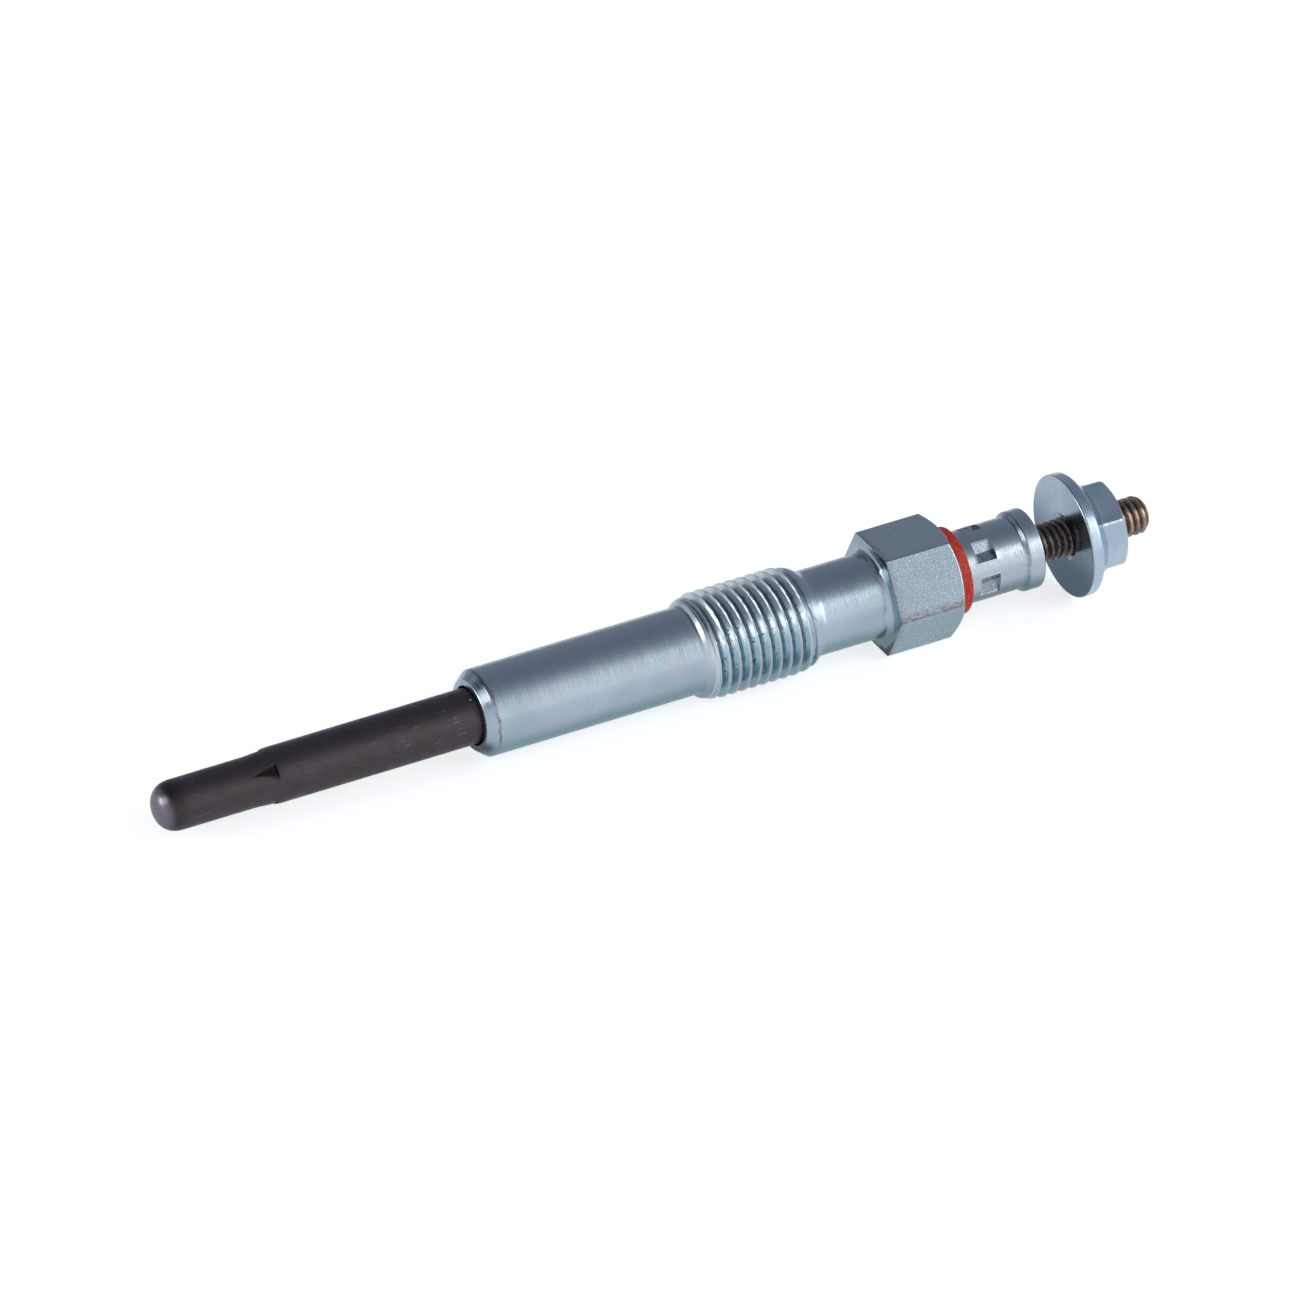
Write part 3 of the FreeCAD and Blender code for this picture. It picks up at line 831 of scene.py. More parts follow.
@dataclass(frozen=True)
class FormedZinc(Finish):
    """A cold-formed nut with the same plating: smooth and satin, with small dents and scratches."""

    MARKS: ClassVar[tuple[str, ...]] = ("rub",)
    clear: str = "#c6d5e3"
    film: str = "#b6cadb"
    shaded: str = "#526a7c"
    bare: str = "#dde2e6"
    front_face: float = NOWHERE

    def paint(self, on: Swatch) -> None:
        """Patches set tint and gloss, painted shade darkens the washer face downwards and the corners are
        chipped.

        Args:
            on: the swatch to paint on.
        """
        cloud = on.patches(2.5, 3.0)
        fine = on.patches(0.25, 3.0)
        front = on.share(on.station, (self.front_face + 0.12, self.front_face + 0.04), (0.0, 0.95))
        layers = [
            (on.share(cloud, (0.38, 0.62)), self.film),
            # painted shade, darker downwards on the washer face
            (on.share(on.height, (4.0, -3.6), (0.15, 1.0), front), self.shaded),
            (on.share(fine, (0.48, 0.58), (0.0, 0.6), on.marks["rub"]), self.bare),
        ]
        relief = [(cloud, 0.03, 0.12), (fine, 0.012, 0.12)]
        shine = on.share(fine, (0.3, 0.7), (0.16, 0.28))
        on.dress(on.coats(self.clear, layers), relief, {"Metallic": 1.0, "Roughness": shine})


@dataclass(frozen=True)
class RolledSteel(Finish):
    """Bare steel stud with a rolled thread: brownish, oily in the roots and rubbed on the crests."""

    MARKS: ClassVar[tuple[str, ...]] = ("groove", "rub")
    crest: str = "#7d746c"
    bright: str = "#bfa592"
    root: str = "#2a2624"
    oil: str = "#4a3f37"

    def paint(self, on: Swatch) -> None:
        """The depth of the groove darkens the steel, and the outer end is brighter and coppery.

        Args:
            on: the swatch to paint on.
        """
        lines = on.lines(0.08, 1.6)
        layers = [
            (on.share(on.marks["rub"], (0.0, 1.0), (0.0, 0.8)), self.bright),
            (on.share(on.marks["groove"], (0.65, 1.0), (0.0, 0.9)), self.root),
            (on.share(on.patches(0.7, 3.0), (0.42, 0.66), (0.0, 0.6)), self.oil),
        ]
        shine = on.share(lines, (0.35, 0.7), (0.22, 0.42))
        on.dress(on.coats(self.crest, layers), [(lines, 0.006, 0.5)], {"Metallic": 1.0, "Roughness": shine})


@dataclass(frozen=True)
class OxidisedSheath(Finish):
    """Nickel-alloy sheath after swaging and annealing: a thin dark oxide with brown and violet clouds.

    The very tip is rubbed, so it is paler and glossier there, with a heat-darkened ring behind it.
    """

    MARKS: ClassVar[tuple[str, ...]] = ("painted_flat_shade",)
    base: str = "#524c52"
    brown: str = "#544847"
    violet: str = "#49444e"
    rubbed: str = "#8d8782"
    cap: str = "#7a7680"
    # a heat-darkened ring behind the tip; in the sheath the same name marks where the painted flat shade may
    # fall
    burn_and_shade: str = "#382d30"
    # painted shade: the lower side, and the swage flats
    painted_under_shade: str = "#2f2b2e"
    painted_flat_shade: str = "#21181a"
    chip: str = "#ffffff"
    chip_place: Triple = (37.5, -1.24, 2.84)
    drawn: Triple = (0.926, 0.16026, 0.16026)

    def paint(self, on: Swatch) -> None:
        """Clouds set the tint, painted shade darkens the swage flats and the lower side, and a few rubs run
        along the tube.

        Args:
            on: the swatch to paint on.
        """
        small = on.patches(0.7, 3.0)
        drawn = on.grain(on.point, self.drawn, 4.0, 0.7)
        behind = on.share(on.station, (22.0, 33.0), (0.35, 1.0))
        tip = on.share(on.station, (1.6, 0.5))
        past_tip = on.share(on.station, (0.9, 1.6))
        ends = {0: on.point, 1: self.chip_place}
        chip = add_node(on.tree, "ShaderNodeVectorMath", ends, operation="DISTANCE")
        layers = [
            (on.share(on.patches(1.8, 3.0), (0.42, 0.62), (0.0, 0.6)), self.brown),
            (on.share(small, (0.48, 0.66), (0.0, 0.5)), self.violet),
            (on.share(drawn, (0.56, 0.7), (0.0, 0.5), behind), self.rubbed),
            (tip, self.cap),
            (on.share(on.station, (3.6, 2.2), (0.0, 0.4), past_tip), self.burn_and_shade),
            # painted shade on the lower side
            (on.share(on.height, (-0.5, -2.3), (0.0, 0.6)), self.painted_under_shade),
            # painted shade on the swage flats
            (on.marks["painted_flat_shade"], self.painted_flat_shade),
            (on.share(chip.outputs["Value"], (0.13, 0.07)), self.chip),
        ]
        gloss = on.share(small, (0.3, 0.7), (0.32, 0.44))
        shine = add_node(on.tree, "ShaderNodeMix", {0: tip, 2: gloss, 3: 0.3})
        relief = [(small, 0.02, 0.1), (drawn, 0.008, 0.25)]
        on.dress(on.coats(self.base, layers), relief, {"Metallic": 0.9, "Roughness": shine.outputs[0]})


@dataclass(frozen=True)
class MouldedPlastic(Finish):
    """Glass-filled nylon, moulded red: satin, with a faint speckle of fibre ends.

    The speckle is drawn 0.12 mm wide, coarser than real fibres, so that the picture can show it.
    """

    base: str = "#e03c2c"
    dark: str = "#c42e22"
    deep: str = "#9a2922"
    speck: str = "#e0705f"

    def paint(self, on: Swatch) -> None:
        """Patches and specks change the red a little.

        Args:
            on: the swatch to paint on.
        """
        fine = on.patches(0.12, 3.0)
        layers = [
            (on.share(on.patches(1.6), (0.35, 0.6), (0.0, 0.7)), self.dark),
            (on.share(fine, (0.43, 0.36), (0.0, 0.5)), self.deep),
            (on.share(fine, (0.54, 0.62), (0.0, 0.8)), self.speck),
        ]
        values = {"Roughness": 0.5, "Specular IOR Level": 0.35}
        on.dress(on.coats(self.base, layers), [(fine, 0.02, 0.2)], values)


@dataclass(frozen=True)
class InnerStock(Finish):
    """A sealed inner piece: one colour with the grain of its process."""

    base: str
    other: str
    grain: float
    metallic: float
    roughness: float

    def paint(self, on: Swatch) -> None:
        """Grain of one size changes the colour and the relief.

        Args:
            on: the swatch to paint on.
        """
        grain = on.patches(self.grain, 3.0)
        tint = on.coats(self.base, [(on.share(grain, (0.35, 0.65)), self.other)])
        on.dress(tint, [(grain, 0.02, 0.25)], {"Metallic": self.metallic, "Roughness": self.roughness})


# Sub-assemblies


@dataclass
class SubAssembly:
    """One part of the plug that can be built and dressed by itself."""

    axis: PlugAxis

    def seat(self, piece: bpy.types.Object, node: str, slot: str, finishes: list[Finish]) -> bpy.types.Object:
        """Let a finished piece stand for its solid.

        Args:
            piece: the new piece.
            node: the solid's node.
            slot: the record's material slot; not used.
            finishes: one for each material number of the piece.

        Returns:
            The piece.
        """
        for finish in finishes:
            piece.data.materials.append(finish.material(self.axis))
        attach(piece, "root")
        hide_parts(node)
        LOG.info("built %s with %d faces", piece.name, len(piece.data.polygons))
        return piece

    def dress(self, node: str, finish: Finish) -> None:
        """Give a solid whose shape stays the finish of its real material.

        Args:
            node: the solid's node.
            finish: what it gets.
        """
        solid = frame["nodes"][node]
        solid.data.materials.clear()
        solid.data.materials.append(finish.material(self.axis))
        LOG.info("dressed %s", node)


@dataclass
class GlowRod(SubAssembly):
    """Swaged sheath with its coils, powder and seal."""

    rod_reach: float = 38.0
    rod_radius: float = 3.1
    tip_radius: float = 2.8
    tip_length: float = 11.9
    swage_length: float = 2.3
    mark_front: float = 10.6
    mark_length: float = 3.2
    mark_depth: float = 0.24
    mark_count: int = 4
    mark_roll: float = math.radians(50)
    # how far behind a flat's front its painted shade begins
    flat_shade_front: float = 0.2
    wall: float = 0.75
    tip_wall: float = 1.8
    tube_depth: float = 22.2
    dome_fullness: float = 2.4
    tip_start: float = 0.08  # the rounding starts this far behind the solid's apex
    columns: int = 192

    def sheath(self) -> bpy.types.Object:
        """The sheath, outside and inside, with the flats that the swaging jaws leave.

        The closed end is a superellipse, fuller than a ball: with n the fullness, the share of the
        radius to the power n and the share of the length left to the power n add up to 1.
        A flat is a plane that starts level with the tip's radius and rises by less than the step.
        The radius is the lesser of the turned form and the plane's height over the cosine of the angle from
        the flat's middle. Painted shade fills a wedge that widens backwards over each flat, and darkens it
        more where the flat cuts deeper.

        Returns:
            The finished mesh.
        """
        swage_end = self.tip_length + self.swage_length
        tube_end = self.rod_reach + self.tube_depth
        turn = np.linspace(0.0, TURN / 4, 21)[1:-1]
        power = 2 / self.dome_fullness
        dome_station = self.tip_start + (self.tip_radius - self.tip_start) * (1 - np.cos(turn) ** power)
        dome_radius = self.tip_radius * np.sin(turn) ** power
        corners = [
            *map(Corner, dome_station, dome_radius),
            Corner(self.tip_radius, self.tip_radius, steps=18),
            Corner(self.tip_length, self.tip_radius, 0.8, steps=36),
            Corner(swage_end, self.rod_radius, 0.3, steps=40),
            Corner(tube_end, self.rod_radius, 0.1),
            Corner(tube_end, self.rod_radius - self.wall, 0.1, steps=8),
            Corner(swage_end, self.rod_radius - self.wall),
            Corner(self.tip_length, self.tip_radius - self.wall, steps=4),
            Corner(self.tip_wall, self.tip_radius - self.wall),
            Corner(self.tip_wall, 0.3),
        ]
        rolls = even_rolls(self.columns)
        station, radius = meridians(corners, rolls, Ends.POLES)
        outside = radius > self.tip_radius - self.wall / 2
        turned = radius.copy()
        off_mark = off_nearest(rolls, self.mark_roll, self.mark_count)
        rise = (self.rod_radius - self.mark_depth - self.tip_radius) / self.mark_length
        plane = (self.tip_radius + rise * (station - self.mark_front)) / np.cos(off_mark)
        mark_back = self.mark_front + self.mark_length
        near_mark = outside & (station > self.mark_front) & (station < mark_back)
        radius = np.where(near_mark, np.minimum(radius, plane), radius)
        # painted shade on each swage flat: a wedge that widens backwards, darker where the flat cuts deeper
        share = (station - self.mark_front - self.flat_shade_front) / (self.mark_length - self.flat_shade_front)
        inside = 0.74 * np.clip(share, 0.0, 1.0) - np.abs(off_mark + 0.05) * self.rod_radius
        # where the painted flat shade may fall
        burn_and_shade = outside & (share > 0) & (station < mark_back + 0.02)
        painted_flat_shade = np.maximum(ease(inside, -0.14, 0.14), 0.6 * ease(turned - radius, 0.02, 0.08))
        painted_flat_shade = np.where(burn_and_shade, painted_flat_shade, 0.0)
        shell = Shell("glow_tube", station, radius, rolls, Ends.POLES, {"painted_flat_shade": painted_flat_shade})
        return shell.mesh(self.axis, (self.tip_start, self.tip_wall))

    def build(self) -> None:
        """Build the sheath and dress what it holds."""
        oxide = OxidisedSheath("annealed_nickel_alloy_with_dark_oxide")
        self.seat(self.sheath(), "glow_tube", "sheath", [oxide])
        rubber = InnerStock("moulded_seal_rubber", "#242424", "#1c1c1c", 0.3, 0.0, 0.55)
        inner = {
            "heating_coil": InnerStock("drawn_resistance_wire", "#9a958d", "#857f78", 0.1, 1.0, 0.35),
            "regulating_coil": InnerStock("drawn_nickel_wire", "#c2bdb3", "#aaa59a", 0.1, 1.0, 0.3),
            "magnesia_filling": InnerStock("pressed_magnesia_powder", "#e6e3dc", "#d5d1c8", 0.15, 0.0, 0.9),
            "tube_seal": rubber,
            "body_seal": rubber,
        }
        for node, stock in inner.items():
            self.dress(node, stock)


@dataclass
class Housing(SubAssembly):
    """Nose, shank, thread, neck and hexagon, turned from one bar."""

    face: float = 38.0
    nose_radius: float = 3.95
    nose_chamfer: float = 1.1
    recess_radius: float = 3.33
    recess_depth: float = 2.0
    seat_radius: float = 3.1
    seat_length: float = 14.0
    cavity_radius: float = 3.4
    shank_radius: float = 4.85
    shank_length: float = 28.1
    lead_length: float = 2.05
    lead_step: float = 0.5
    lead_radius: float = 5.4
    thread_radius: float = 5.88
    thread_pitch: float = 1.232
    thread_length: float = 10.0
    thread_depth: float = 0.77
    thread_phase: float = 1.08  # a crest at roll 0 lies this far before the first full one
    groove_front: float = 1.3
    groove_back: float = 2.2
    seam_depth: float = 0.03
    seam_offset: float = 0.24
    runout_length: float = 2.5
    runout_slope: float = 1.5
    runout_radius: float = 5.28
    neck_radius: float = 4.72
    neck_length: float = 10.6
    neck_root: float = 1.0
    hex_flats: float = 12.0
    hex_corner: float = 0.4
    hex_length: float = 8.5
    crown_radius: float = 5.4
    crown_angle: float = math.radians(30)
    seal_bore_radius: float = 3.9
    seal_bore_depth: float = 6.2
    worn_corner: float = math.radians(90)
    stain_offset: float = 0.08
    columns: int = 240
    rows_per_pitch: int = 22

    @property
    def thread_front(self) -> float:
        """Station of the first full crest."""
        return self.face + self.shank_length

    @property
    def thread_back(self) -> float:
        """Station of the last full crest."""
        return self.thread_front + self.thread_length

    @property
    def lead_front(self) -> float:
        """Station where the lead of the thread rises from the shank."""
        return self.thread_front - self.lead_length

    @property
    def runout_back(self) -> float:
        """Station where the thread's run-out has sunk to the neck."""
        return self.thread_back + self.runout_length

    @property
    def hex_front(self) -> float:
        """Station of the hexagon's front face."""
        return self.thread_back + self.neck_length

    @property
    def hex_back(self) -> float:
        """Station of the hexagon's rear face."""
        return self.hex_front + self.hex_length

    def corners(self, rolls: np.ndarray) -> list[Corner]:
        """The half-section from the recess round the outside and back through the bore.

        The crown's cone falls from the hexagon at the crown angle, so it meets each roll at
        back - (hexagon radius - crown radius) * tan(crown angle). The thread's run-out stands
        highest above and below: its radius swings by 0.2 * cos(2 * (roll + 35 degrees)).

        Args:
            rolls: the roll of each column.

        Returns:
            The corners in order.
        """
        hexagon = hexagon_radius(rolls, self.hex_flats, 0.0, self.hex_corner)
        crown = self.hex_back - (hexagon - self.crown_radius) * math.tan(self.crown_angle)
        thread_rows = round(self.rows_per_pitch * self.thread_length / self.thread_pitch)
        runout = self.runout_radius + 0.2 * np.cos(2 * (rolls + math.radians(35)))
        recess_end = self.face + self.recess_depth
        seat_end = recess_end + self.seat_length
        seal_floor = self.hex_back - self.seal_bore_depth
        return [
            Corner(self.face, self.recess_radius, 0.06, 2),
            Corner(self.face, self.nose_radius, 0.12, 4),
            Corner(self.face + self.nose_chamfer, self.shank_radius, 0.20, 24),
            Corner(self.lead_front, self.shank_radius, 0.22, 6),
            Corner(self.lead_front + self.lead_step, self.lead_radius, 0.15, 24),
            Corner(self.thread_front, self.thread_radius, 0.08, thread_rows),
            Corner(self.thread_back, self.thread_radius, 0.08, 22),
            Corner(self.thread_back + self.runout_slope, runout, 0.15, 10),
            Corner(self.runout_back, self.neck_radius, 0.35, 8),
            Corner(self.hex_front, self.neck_radius, self.neck_root, 3),
            Corner(self.hex_front, hexagon, 0.08, 10),
            Corner(crown, hexagon, 0.10, 3),
            Corner(self.hex_back, self.crown_radius, 0.08, 2),
            Corner(self.hex_back, self.seal_bore_radius, 0.05, 3),
            Corner(seal_floor, self.seal_bore_radius),
            Corner(seal_floor, self.cavity_radius, steps=4),
            Corner(seat_end, self.cavity_radius),
            Corner(seat_end, self.seat_radius, steps=2),
            Corner(recess_end, self.seat_radius),
            Corner(recess_end, self.recess_radius, steps=3),
        ]

    def blank(self) -> bpy.types.Object:
        """The housing with its thread and the worn corner of its hexagon.

        Marks for the finishes go with it: the depth of the groove, the low crests, the corner that
        is rubbed, the hexagon's edges and its crown. On the lead, a fine seam runs beside the first
        turn where the rolls ended.

        Returns:
            The finished mesh, with a material number for each face.
        """
        rolls = gathered_rolls(self.columns, 6, TURN / 12)
        station, radius = meridians(self.corners(rolls), rolls, Ends.RING)
        threaded = (station > self.lead_front) & (station < self.runout_back) & (radius > self.neck_radius)
        thread = Thread(
            crest=self.thread_radius,
            pitch=self.thread_pitch,
            start=self.thread_front - self.thread_phase,
            depth=self.thread_depth,
            front=self.thread_front - self.groove_front,
            back=self.thread_back + self.groove_back,
        )
        radius, groove = thread.cut(station, radius, rolls, threaded)
        around = off_nearest(rolls, 0.0, 1)
        seam = bump_at(station, thread.start - self.seam_offset + self.thread_pitch * around / TURN, 0.1)
        seam = np.where(threaded, seam * ease(np.abs(around - 0.2), 1.4, 0.9), 0.0)
        radius = radius - self.seam_depth * seam
        groove = np.maximum(groove, ease(seam, 0.3, 0.8))
        flat = (station > self.hex_front) & (radius > self.hex_flats / 2 - 0.5)
        off_corner = (rolls - self.worn_corner) * radius
        worn = ease(off_corner, -0.75, -0.45) * ease(off_corner, 0.12, 0.02)
        edge = np.maximum(bump_at(station, self.hex_front + 0.04, 0.1), 0.9 * bump_at(off_corner, 0.03, 0.07))
        crown = ease(radius, self.crown_radius + 0.02, self.crown_radius + 0.06)
        crown = crown * (station > self.hex_back - 0.55)
        line = np.minimum(self.hex_flats / 2 / np.cos(off_nearest(rolls, 0.0, 6)), 6.8) - radius
        marks = {
            "groove": groove,
            "crest": np.where(threaded & (radius > self.thread_radius - 0.12), ease(groove, 0.12, 0.02), 0.0),
            "rub": np.where(flat, worn, 0.0),
            "edge": np.where(flat, edge, 0.0),
            "crown": crown * ease(line, 0.03, 0.08),
        }
        piece = Shell("housing", station, radius, rolls, Ends.RING, marks).mesh(self.axis)
        on_flat = (station > self.hex_front - 1e-6) & (radius > self.neck_radius + self.neck_root)
        rolled = threaded & (station < self.thread_back + 0.5)
        number = np.where(rolled, Region.ROLLED, np.where(on_flat, Region.DRAWN, Region.TURNED))
        following = np.roll(number, -1, axis=0)
        per_face = np.where(number == Region.TURNED, Region.TURNED, following)
        piece.data.polygons.foreach_set("material_index", per_face.ravel().astype(np.int32))
        return piece

    def build(self) -> None:
        """Build the housing and give each region its finish."""
        turned = TurnedZinc(
            "turned_steel_with_blue_zinc",
            seam=self.face + self.nose_chamfer + self.stain_offset,
            bevel=self.face,
            ridged=self.runout_back,
        )
        rolled = RolledZinc("rolled_thread_with_blue_zinc")
        drawn = DrawnZinc("drawn_hexagon_with_blue_zinc", front_face=self.hex_front)
        self.seat(self.blank(), "housing", "plated_steel", [turned, rolled, drawn])


@dataclass
class Terminal(SubAssembly):
    """Everything behind the hexagon: washer, crimped sleeve, stud and nut."""

    hex_back: float
    seal_bore_depth: float = 6.2
    seal_bore_radius: float = 3.9
    body_seal_length: float = 2.2
    hole_radius: float = 2.15
    washer_radius: float = 4.85
    washer_thickness: float = 1.4
    sleeve_radius: float = 4.0
    sleeve_length: float = 9.0
    collar_radius: float = 4.43
    collar_length: float = 1.65
    collar_slope: float = 0.45
    crimp_front: float = 1.35
    crimp_length: float = 2.3
    crimp_width: float = 2.4
    crimp_edge_depth: float = 0.3
    crimp_middle_depth: float = 0.72
    crimp_count: int = 6
    crimp_roll: float = math.radians(39.4)
    crimp_lip: float = 0.03
    terminal_gap: float = 4.5
    nut_height: float = 5.5
    nut_flats: float = 9.2
    nut_corner: float = 0.45
    nut_roll: float = math.radians(25.8)
    nut_crown_radius: float = 4.45
    flange_radius: float = 6.85
    flange_rim: float = 1.25
    flange_slope: float = math.radians(36.8)
    crown_angle: float = math.radians(30)
    countersink: float = 0.5
    stud_radius: float = 2.1
    stud_pitch: float = 0.8
    stud_depth: float = 0.26
    stud_phase: float = 0.43
    stud_beyond_nut: float = 4.2
    stud_point_length: float = 0.7
    stud_point_radius: float = 1.5
    electrode_radius: float = 1.6
    spigot_front: float = 24.55
    spigot_radius: float = 1.08
    rod_front: float = 30.05
    shoulder_lead: float = 2.4
    shoulder_length: float = 1.2

    @property
    def washer_back(self) -> float:
        """Station where the washer meets the sleeve."""
        return self.hex_back + self.washer_thickness

    @property
    def sleeve_back(self) -> float:
        """Station of the sleeve's rear face."""
        return self.washer_back + self.sleeve_length

    @property
    def nut_front(self) -> float:
        """Station of the nut's washer face."""
        return self.sleeve_back + self.terminal_gap

    @property
    def nut_back(self) -> float:
        """Station of the nut's outer face."""
        return self.nut_front + self.nut_height

    @property
    def crimp_edge(self) -> float:
        """Angle from the middle of a crimp to its edge."""
        return math.asin(self.crimp_width / 2 / self.sleeve_radius)

    def washer(self) -> bpy.types.Object:
        """The insulating washer, its rim rounded by the squeeze.

        Returns:
            The finished mesh.
        """
        seal_back = self.hex_back - self.seal_bore_depth + self.body_seal_length
        spigot = self.seal_bore_radius - 0.05
        corners = [
            Corner(seal_back, self.hole_radius),
            Corner(seal_back, spigot, steps=3),
            Corner(self.hex_back, spigot),
            Corner(self.hex_back, self.washer_radius, 0.12, 4),
            Corner(self.washer_back, self.washer_radius, 0.24, 4),
            Corner(self.washer_back, self.hole_radius, steps=4),
        ]
        rolls = even_rolls(144)
        station, radius = meridians(corners, rolls, Ends.RING)
        return Shell("insulating_washer", station, radius, rolls, Ends.RING).mesh(self.axis)

    def crimp_rolls(self) -> np.ndarray:
        """Rolls with a close pair at both edges of every crimp, and even steps in between.

        Returns:
            The rolls, in order.
        """
        edge = self.crimp_edge
        close = math.radians(0.35)
        sector = TURN / self.crimp_count
        inside = np.linspace(-edge + close, edge - close, 15)
        outside = np.linspace(edge + close, sector - edge - close, 17)
        one = np.concatenate([inside, outside])
        start = np.arange(self.crimp_count)[:, None] * sector
        return np.sort((self.crimp_roll + start + one).ravel())

    def sleeve(self) -> bpy.types.Object:
        """The crimped sleeve.

        In a crimp, two planes meet in a valley along the axis. With a the angle from the middle of
        the crimp, the radius of the floor is bottom / (cos a - slope * |sin a|). Round it the metal
        is pushed up into a low lip, a soft hill of the distance from the edge.

        Returns:
            The finished mesh.
        """
        rolls = self.crimp_rolls()
        body_end = self.sleeve_back - self.collar_length - self.collar_slope
        front = self.washer_back + self.crimp_front
        back = front + self.crimp_length
        close = 0.02
        rows = np.concatenate(
            [
                np.linspace(self.washer_back + 0.1, front - 0.3, 4),
                np.linspace(front - 0.22, front - close, 6),
                np.linspace(front + close, back - close, 10),
                np.linspace(back + close, back + 0.22, 6),
                np.linspace(back + 0.3, body_end - 0.1, 8),
            ]
        )
        shares = (rows - self.washer_back) / (body_end - self.washer_back)
        corners = [
            Corner(self.washer_back, self.hole_radius, steps=3),
            Corner(self.washer_back, self.sleeve_radius, 0.05, shares),
            Corner(body_end, self.sleeve_radius, 0.12, 3),
            Corner(self.sleeve_back - self.collar_length, self.collar_radius, 0.10, 6),
            Corner(self.sleeve_back, self.collar_radius, 0.12, 4),
            Corner(self.sleeve_back, self.hole_radius, 0.10, 6),
        ]
        station, radius = meridians(corners, rolls, Ends.RING)
        off = off_nearest(rolls, self.crimp_roll, self.crimp_count)
        bottom = self.sleeve_radius - self.crimp_middle_depth
        slope = (self.crimp_middle_depth - self.crimp_edge_depth) / (self.crimp_width / 2)
        floor = bottom / (np.cos(off) - slope * np.abs(np.sin(off)))
        outer = (radius > self.sleeve_radius - 0.06) & (station < body_end)
        inside = outer & (station > front) & (station < back) & (np.abs(off) < self.crimp_edge)
        along = np.maximum(np.maximum(front - station, station - back), 0.0)
        round_axis = np.maximum(np.abs(off) - self.crimp_edge, 0.0) * self.sleeve_radius
        lip = self.crimp_lip * bump_at(np.hypot(along, round_axis), 0.0, 0.13)
        radius = np.where(inside, floor, np.where(outer, radius + lip, radius))
        marks = {"torn": inside * 1.0}
        return Shell("crimp_sleeve", station, radius, rolls, Ends.RING, marks).mesh(self.axis)

    def stud(self) -> bpy.types.Object:
        """The stud with its thread from inside the sleeve to its outer end.

        Returns:
            The finished mesh.
        """
        stud_end = self.nut_back + self.stud_beyond_nut
        shoulder_back = self.hex_back - self.seal_bore_depth - self.shoulder_lead
        thread_front = self.sleeve_back - 1.0
        point = stud_end - self.stud_point_length
        rows = round(16 * (point - thread_front) / self.stud_pitch)
        corners = [
            Corner(self.spigot_front, 0.4),
            Corner(self.spigot_front, self.spigot_radius, steps=2),
            Corner(self.rod_front, self.spigot_radius),
            Corner(self.rod_front, self.electrode_radius, steps=6),
            Corner(shoulder_back - self.shoulder_length, self.electrode_radius),
            Corner(shoulder_back, self.stud_radius, steps=4),
            Corner(thread_front, self.stud_radius, steps=rows),
            Corner(point, self.stud_radius, 0.12, 8),
            Corner(stud_end, self.stud_point_radius, 0.15, 3),
            Corner(stud_end, 0.3),
        ]
        rolls = even_rolls(112)
        station, radius = meridians(corners, rolls, Ends.POLES)
        thread = Thread(
            crest=self.stud_radius,
            pitch=self.stud_pitch,
            start=self.sleeve_back + self.stud_phase,
            depth=self.stud_depth,
            front=thread_front,
            back=stud_end + 1.0,
            lead=0.3,
            crest_share=0.19,
            root_share=0.07,
        )
        radius, groove = thread.cut(station, radius, rolls, station > thread_front)
        marks = {"groove": groove, "rub": ease(station, self.nut_front, self.nut_back + 1.0)}
        shell = Shell("terminal_stud", station, radius, rolls, Ends.POLES, marks)
        return shell.mesh(self.axis, (self.spigot_front, stud_end))

    def nut(self) -> bpy.types.Object:
        """The flange nut.

        The flange's cone rises from its rim to the hexagon, so at each roll it ends at
        rim + (flange radius - hexagon radius) * tan(flange slope). The crown is the same rule from
        the other end.

        Returns:
            The finished mesh.
        """
        rolls = gathered_rolls(216, 6, self.nut_roll + TURN / 12, 0.8)
        hexagon = hexagon_radius(rolls, self.nut_flats, self.nut_roll, self.nut_corner)
        rim = self.nut_front + self.flange_rim
        cone = rim + (self.flange_radius - hexagon) * math.tan(self.flange_slope)
        crown = self.nut_back - (hexagon - self.nut_crown_radius) * math.tan(self.crown_angle)
        wide = self.hole_radius + self.countersink
        corners = [
            Corner(self.nut_front, wide, 0.08, 10),
            Corner(self.nut_front, self.flange_radius, 0.22, 4),
            Corner(rim, self.flange_radius, 0.25, 6),
            Corner(cone, hexagon, 0.6, 8),
            Corner(crown, hexagon, 0.45, 3),
            Corner(self.nut_back, self.nut_crown_radius, 0.2, 4),
            Corner(self.nut_back, wide, 0.06, 2),
            Corner(self.nut_back - self.countersink, self.hole_radius, steps=3),
            Corner(self.nut_front + self.countersink, self.hole_radius, steps=2),
        ]
        station, radius = meridians(corners, rolls, Ends.RING)
        edge = bump_at(hexagon, self.nut_flats / math.sqrt(3), 0.12)
        on_hexagon = (station > rim + 0.2) & (radius > self.nut_flats / 2 - 0.2)
        rub = np.where(on_hexagon, edge, 0.0)
        return Shell("flange_nut", station, radius, rolls, Ends.RING, {"rub": rub}).mesh(self.axis)

